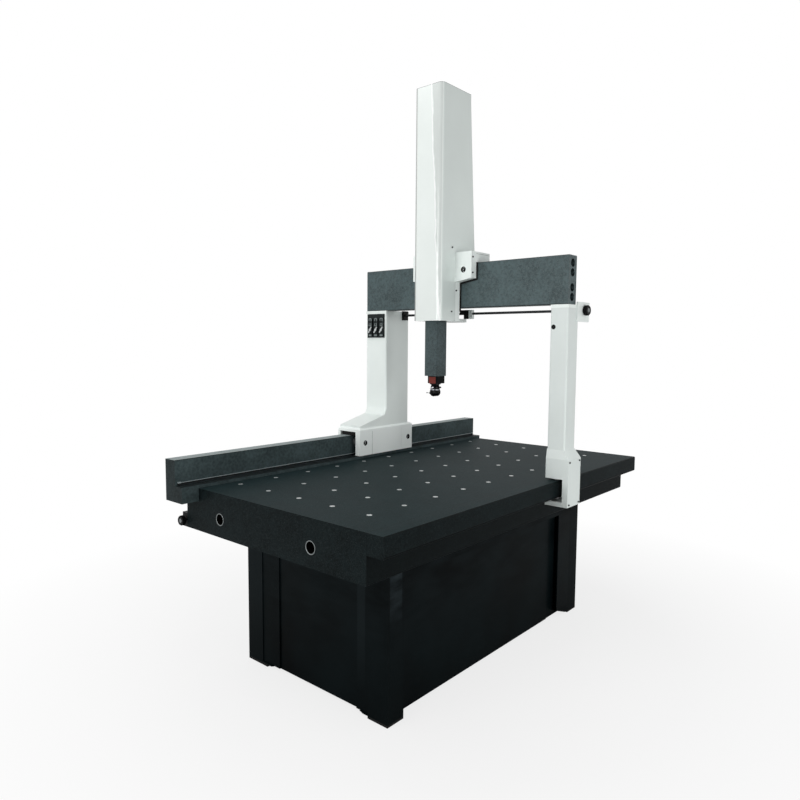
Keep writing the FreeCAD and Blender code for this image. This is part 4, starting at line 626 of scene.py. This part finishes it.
for number in range(3):
    lever = f"valve_lever_{number + 1}"
    dress(lever_steel, "bare_steel", lever)
    lever_low, lever_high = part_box(lever)
    valve_x = (lever_low[0] + lever_high[0]) / 2
    lever_z = (lever_low[2] + lever_high[2]) / 2
    for outline in (face_outline, foot_outline):
        prism(faces, [(valve_x + x, valve_y, lever_z + z) for x, z in outline],
              (0, -face_depth, 0), face_bevel)
    for rise in (0.030, 0.058):
        lathe(buttons, (valve_x, valve_y - 0.0021, lever_z + rise), (0, -1, 0), [
            (0, 0.0002), (button_radius, 0.0002), (button_radius, button_height - 0.0004),
            (button_radius - 0.0012, button_height), (0, button_height)], 20)
fit(new_piece("valve_faces", faces, valve_grey), "bridge")
fit(new_piece("valve_buttons", buttons, black_plastic), "bridge")


# Cross fine feed. A dark drawn steel rod behind the beam turns in a black moulded bearing on the
# left leg and a white bracket on the right one, with a ribbed knob at its end.
dress(black_plastic, "black_plastic", "cross_rod_bearing")
cross_rod_steel = metal("cross_rod_steel", (0.05, 0.053, 0.056), 0.35, 0.00003, (5, 700, 700))
dress(cross_rod_steel, "bare_steel", "cross_feed_rod")
turn_low, turn_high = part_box("cross_feed_knob")
ribbed_knob("cross_knob", "cross_feed_knob", "cross_feed",
            Vector((turn_low[0], (turn_low[1] + turn_high[1]) / 2, (turn_low[2] + turn_high[2]) / 2)),
            (1, 0, 0))


# Carriage. White plates that grip the beam through air pads. A black rubber strip follows the
# front plate's lower edge in the gap before the beam, and paints the plate's shadow on the beam.
plate_low, plate_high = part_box("carriage_front_plate")
casting_tint = (0.85, 0.91, 0.885)
front_seam, top_seam = 0.0023, 0.010
plate_paint = paint("plate_paint", casting_tint, 0.38, 0.0005, 0.4, 0.15, mottle=0.06,
                    seams=[(1, plate_low[1] + front_seam)])
top_paint = paint("top_paint", casting_tint, 0.38, 0.0005, 0.4, 0.15, mottle=0.06,
                  seams=[(2, plate_high[2] - top_seam)])
dress(plate_paint, "white_casting", "carriage_front_plate")
dress(top_paint, "white_casting", "carriage_top_plate")
dress(white_casting, "white_casting", "carriage_rear_plate", "carriage_lower_plate")
dress(pad_aluminium, "aluminium", "carriage_pads", "ram_bearings", "counterbalance", "read_heads")
dress(black_plastic, "black_plastic", "rod_clamp")
dress(dark_steel, "bare_steel", "carriage_screws")
column_low, column_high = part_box("column_front_cover")
beam_low, beam_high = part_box("beam")
wing_height, wing_fall, lip, tuck = 0.132, 0.017, 0.008, 0.003
wing_z = plate_high[2] - wing_height
shadow_strip_end_z = beam_low[2] - 0.02
gap_seat, gap_fill = 0.0003, 0.0031


def shadow_strip_edge(grow):
    """The front plate's edge, from the beam's top on one side, down and up to it on the other,
    grown outwards."""
    left, right = column_low[0] - grow, column_high[0] + grow
    return [(plate_low[0] - grow, beam_high[2]), (plate_low[0] - grow, wing_z - grow),
            (left, wing_z - wing_fall - grow), (left, shadow_strip_end_z),
            (right, shadow_strip_end_z), (right, wing_z - wing_fall - grow),
            (plate_high[0] + grow, wing_z - grow), (plate_high[0] + grow, beam_high[2])]


# A black strip along the plate's edge paints its shadow on the beam.
shadow_strip = bmesh.new()
outer, inner = shadow_strip_edge(lip), shadow_strip_edge(-tuck)
for first in (0, 1, 2, 4, 5, 6):
    run = [outer[first], outer[first + 1], inner[first + 1], inner[first]]
    prism(shadow_strip, [(x, plate_high[1] + gap_seat, z) for x, z in run], (0, gap_fill, 0))
fit(new_piece("plate_shadow_strip", shadow_strip, rubber), "carriage")
adjuster_inset, adjuster_drop = 0.050, 0.089
adjuster_cups("carriage_adjuster", "carriage", [
    Vector((x, plate_low[1], plate_high[2] - adjuster_drop))
    for x in (plate_low[0] + adjuster_inset, plate_high[0] - adjuster_inset)], (0, -1, 0))


# Column. Folded sheet covers sprayed white and gloss, slightly wavy. A painted grey reflection runs
# along the front's right edge, where it seems to bend away, and widens towards the top, with a painted
# white highlight beside it; the right side has a painted cool shade, and the folded edges show as dark lines.
band_start, band_top, band_lean, band_blur = -0.041, 2.65, 0.05, 0.005


def column_light_and_fold(coat, tint):
    """The painted grey reflection band on the front with a painted white highlight along it, a painted
    cool shade on the right side, and the dark line down the left fold."""
    reflection_band_tint, side_shade_tint, fold_tint = (0.06, 0.08, 0.075), (0.0, 0.2, 0.16), (0.05, 0.055, 0.055)
    ripple_width, highlight_gap, highlight_half = 0.03, 0.004, 0.0022
    spot = coat.place()
    x, z = coat.axes(spot)[::2]
    rightward, forward = coat.facing()[:2]
    ripple = coat.node("ShaderNodeMapping", {}, {"Vector": spot, "Scale": (20, 20, 9)})
    ripple = (coat.noise(ripple, 1.0, 4.0) - 0.5) * ripple_width
    away = x - ((band_top - z) * band_lean + band_start) + ripple
    front = forward < -0.6
    # Painted grey reflection, then a painted white highlight beside it and a painted cool shade on the right
    # side.
    band = coat.spread(away, 0, band_blur) * front
    tint = coat.colours(band * 0.26, tint, reflection_band_tint)
    highlight_streak = (abs(away + highlight_gap) < highlight_half) * front
    tint = coat.colours(highlight_streak * 0.8, tint, (1, 1, 1))
    tint = coat.colours((rightward > 0.9) * 0.11, tint, side_shade_tint)
    return coat.colours((rightward < -0.2) * (forward < -0.1) * 0.6, tint, fold_tint)


cap_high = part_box("column_top_cap")[1]
cap_seam = 0.0012
column_paint = paint("column_paint", (0.79, 0.84, 0.815), 0.2, 0.0003, 0.5, gloss=0.5, wave=0.0014,
                     mottle=0.04, seams=[(2, cap_high[2] - cap_seam)], marks=column_light_and_fold)
dress(column_paint, "white_cover", "column_front_cover", "column_rear_cover", "column_top_cap",
      "column_bottom_plate")


# Ram. A hollow granite ram slides through the column, and a black frame round it under the
# column's floor paints the shade there.
above_machine = 9
ram_granite = granite("ram_granite", (0.044, 0.066, 0.070), (0.090, 0.118, 0.122),
                      (0.10, 0.13, 0.135), lapped_above=above_machine, lapped_roughness=0.3,
                      specular=0.2, arris=0.3)
dress(ram_granite, "granite", "ram")
ram_low, ram_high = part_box("ram")
frame_gap, frame_width, frame_drop, frame_seat = 0.0005, 0.004, 0.0052, 0.0002
left, right = ram_low[0] - frame_gap, ram_high[0] + frame_gap
near, far = ram_low[1] - frame_gap, plate_low[1] - frame_seat
# A black frame round the ram paints the shade under the column's floor.
shade_frame = bmesh.new()
for x_from, y_from, x_to, y_to in (
        (left - frame_width, near - frame_width, right + frame_width, near),
        (left - frame_width, near, left, far), (right, near, right + frame_width, far)):
    prism(shade_frame, [(x, y, column_low[2] - frame_seat) for x, y in (
        (x_from, y_from), (x_to, y_from), (x_to, y_to), (x_from, y_to))], (0, 0, -frame_drop))
fit(new_piece("ram_shade_frame", shade_frame, rubber), "carriage")
dress(black_plastic, "black_plastic", "ram_seal_cap")
dress(scale_tape("ram_tape", 0), "scale_tape", "ram_scale")


# Probe mount. A block of black anodised aluminium screwed to the ram's lower end, with a plain red
# square painted on its front.
mount_low, mount_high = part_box("probe_mount")
red_left, red_right, red_rim = 0.0062, 0.0505, 0.0042
mount_black, mount_red = (0.0022, 0.0030, 0.0033), (0.185, 0.042, 0.034)
mount_skin = Finish(bpy.data.materials.new("probe_mount_skin"))
spot = mount_skin.place()
x, z = mount_skin.axes(spot)[::2]
red = (mount_skin.facing()[1] < -0.5) * (x > mount_low[0] + red_left) * (x < mount_low[0] + red_right)
red = red * (z < mount_high[2] - red_rim)
speck = mount_skin.noise(spot, 500.0, 2.0)
mount_finish = mount_skin.surface({
    "Base Color": mount_skin.colours(red, mount_black, mount_red),
    "Roughness": 0.42 + speck * 0.14,
    "Specular IOR Level": 0.06,
    "Normal": mount_skin.bump(speck, 0.00005),
})
dress(mount_finish, "black_plastic", "probe_mount")
dress(mount_finish, "red_face", "probe_mount_face")


# Probe head. It swivels under the mount: a black housing with a silver plate, a grey band and a
# small plug, and two domed cheeks below it. These new pieces replace the plain head.
probe_black = moulded("probe_black", (0.0015, 0.002, 0.0022), 0.2, 0.00003, specular=0.1)
band_grey = metal("band_grey", (0.30, 0.31, 0.33), 0.35, 0.00003, (400, 400, 400), 0.6)
head_low, head_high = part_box("probe_head")
drum_low, drum_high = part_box("probe_body")
head_x, head_y = (head_low[0] + head_high[0]) / 2, (head_low[1] + head_high[1]) / 2
head_top = mount_low[2] - 0.0003
drum_z = (drum_low[2] + drum_high[2]) / 2
housing_radius, skirt_radius, neck_radius, collar_radius = 0.0235, 0.0215, 0.0215, 0.0290
roof_z, skirt_z = drum_z + 0.0225, drum_z + 0.0105
housing = bmesh.new()
lathe(housing, (head_x, head_y, 0), (0, 0, 1), [
    (0, roof_z), (skirt_radius - 0.006, roof_z), (skirt_radius, roof_z - 0.005), (skirt_radius, skirt_z),
    (housing_radius, skirt_z), (housing_radius, roof_z + 0.006), (housing_radius - 0.003, roof_z + 0.010),
    (neck_radius, roof_z + 0.012), (neck_radius, head_top - 0.006),
    (collar_radius - 0.0005, head_top - 0.005), (collar_radius, head_top), (0, head_top)])
cheek_gap, cheek_radius, cheek_width = 0.0155, 0.0215, 0.0095
for side in (-1, 1):
    lathe(housing, (head_x, head_y + side * cheek_gap, drum_z), (0, side, 0), [
        (0, 0), (cheek_radius, 0), (cheek_radius * 0.95, cheek_width * 0.4),
        (cheek_radius * 0.78, cheek_width * 0.75), (cheek_radius * 0.45, cheek_width * 0.96),
        (0, cheek_width)])
tip_length, tip_radius, tip_rise = 0.014, 0.0045, 0.026
lathe(housing, (head_x + housing_radius - 0.001, head_y, drum_z + tip_rise), (1, 0, 0), [
    (0, 0), (tip_radius * 0.7, 0), (tip_radius * 0.7, 0.005), (tip_radius, 0.006),
    (tip_radius, tip_length - 0.001), (tip_radius - 0.001, tip_length), (0, tip_length)], 20)
head_housing = new_piece("probe_housing", housing, probe_black)
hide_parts("probe_head")
fit(head_housing, "probe_head")
band_width, band_radius, band_chamfer = 0.0055, 0.0253, 0.0008
band = bmesh.new()
lathe(band, (head_x, head_y, skirt_z), (0, 0, 1), [
    (housing_radius, 0), (band_radius - band_chamfer, 0), (band_radius, band_chamfer),
    (band_radius, band_width - band_chamfer), (band_radius - band_chamfer, band_width),
    (housing_radius, band_width), (housing_radius, 0)])
fit(new_piece("probe_band", band, band_grey), "probe_head")
plate_outline = [(-0.0175, 0.0075), (-0.0135, 0.0062), (0.0060, 0.0125), (0.0080, 0.0165),
                 (0.0040, 0.0185)]
plate_y, plate_depth, plate_bevel = head_y - housing_radius - 0.0002, 0.0012, 0.0002
plate = bmesh.new()
prism(plate, [(head_x + x, plate_y, skirt_z + z) for x, z in plate_outline], (0, -plate_depth, 0),
      plate_bevel)
plate_silver = metal("plate_silver", (0.75, 0.76, 0.80), 0.3, 0.00002, (400, 400, 400), 0.3)
fit(new_piece("probe_plate", plate, plate_silver), "probe_head")


# Probe body. A black drum with a barrel tilts between the cheeks and holds the stylus, whose stem
# is pale ceramic with a steel end. The new drum bulges where the plain one is straight.
drum_half, drum_edge, drum_middle = 0.0148, 0.0190, 0.0215
drum_shoulder = drum_middle - 0.0008
drum = bmesh.new()
lathe(drum, (head_x, head_y, drum_z), (0, 1, 0), [
    (0, -drum_half), (drum_edge, -drum_half), (drum_shoulder, -drum_half * 0.5), (drum_middle, 0),
    (drum_shoulder, drum_half * 0.5), (drum_edge, drum_half), (0, drum_half)])
stylus_low, stylus_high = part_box("stylus")
stylus_z = (stylus_low[2] + stylus_high[2]) / 2
barrel_neck, barrel_radius = 0.0055, 0.0070
barrel_length = head_x - drum_low[0]
lathe(drum, (head_x, head_y, stylus_z), (-1, 0, 0), [
    (0, 0), (barrel_neck, 0), (barrel_neck, barrel_length - 0.011),
    (barrel_radius, barrel_length - 0.010), (barrel_radius, barrel_length - 0.002),
    (barrel_neck, barrel_length), (0, barrel_length)], 28)
probe_drum = new_piece("probe_drum", drum, probe_black)
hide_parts("probe_body")
fit(probe_drum, "probe")
steel_length = 0.011
stylus_skin = Finish(bpy.data.materials.new("stylus_skin"))
spot = stylus_skin.place()
grain = stylus_skin.noise(spot, 600.0)
steel_end = stylus_skin.axes(spot)[0] < stylus_low[0] + steel_length
stylus_finish = stylus_skin.surface({
    "Base Color": stylus_skin.colours(steel_end, (0.72, 0.73, 0.72), (0.07, 0.075, 0.08)),
    "Roughness": 0.3 + grain * 0.1,
    "Normal": stylus_skin.bump(grain, 0.00001),
})
dress(stylus_finish, "stylus_steel", "stylus")
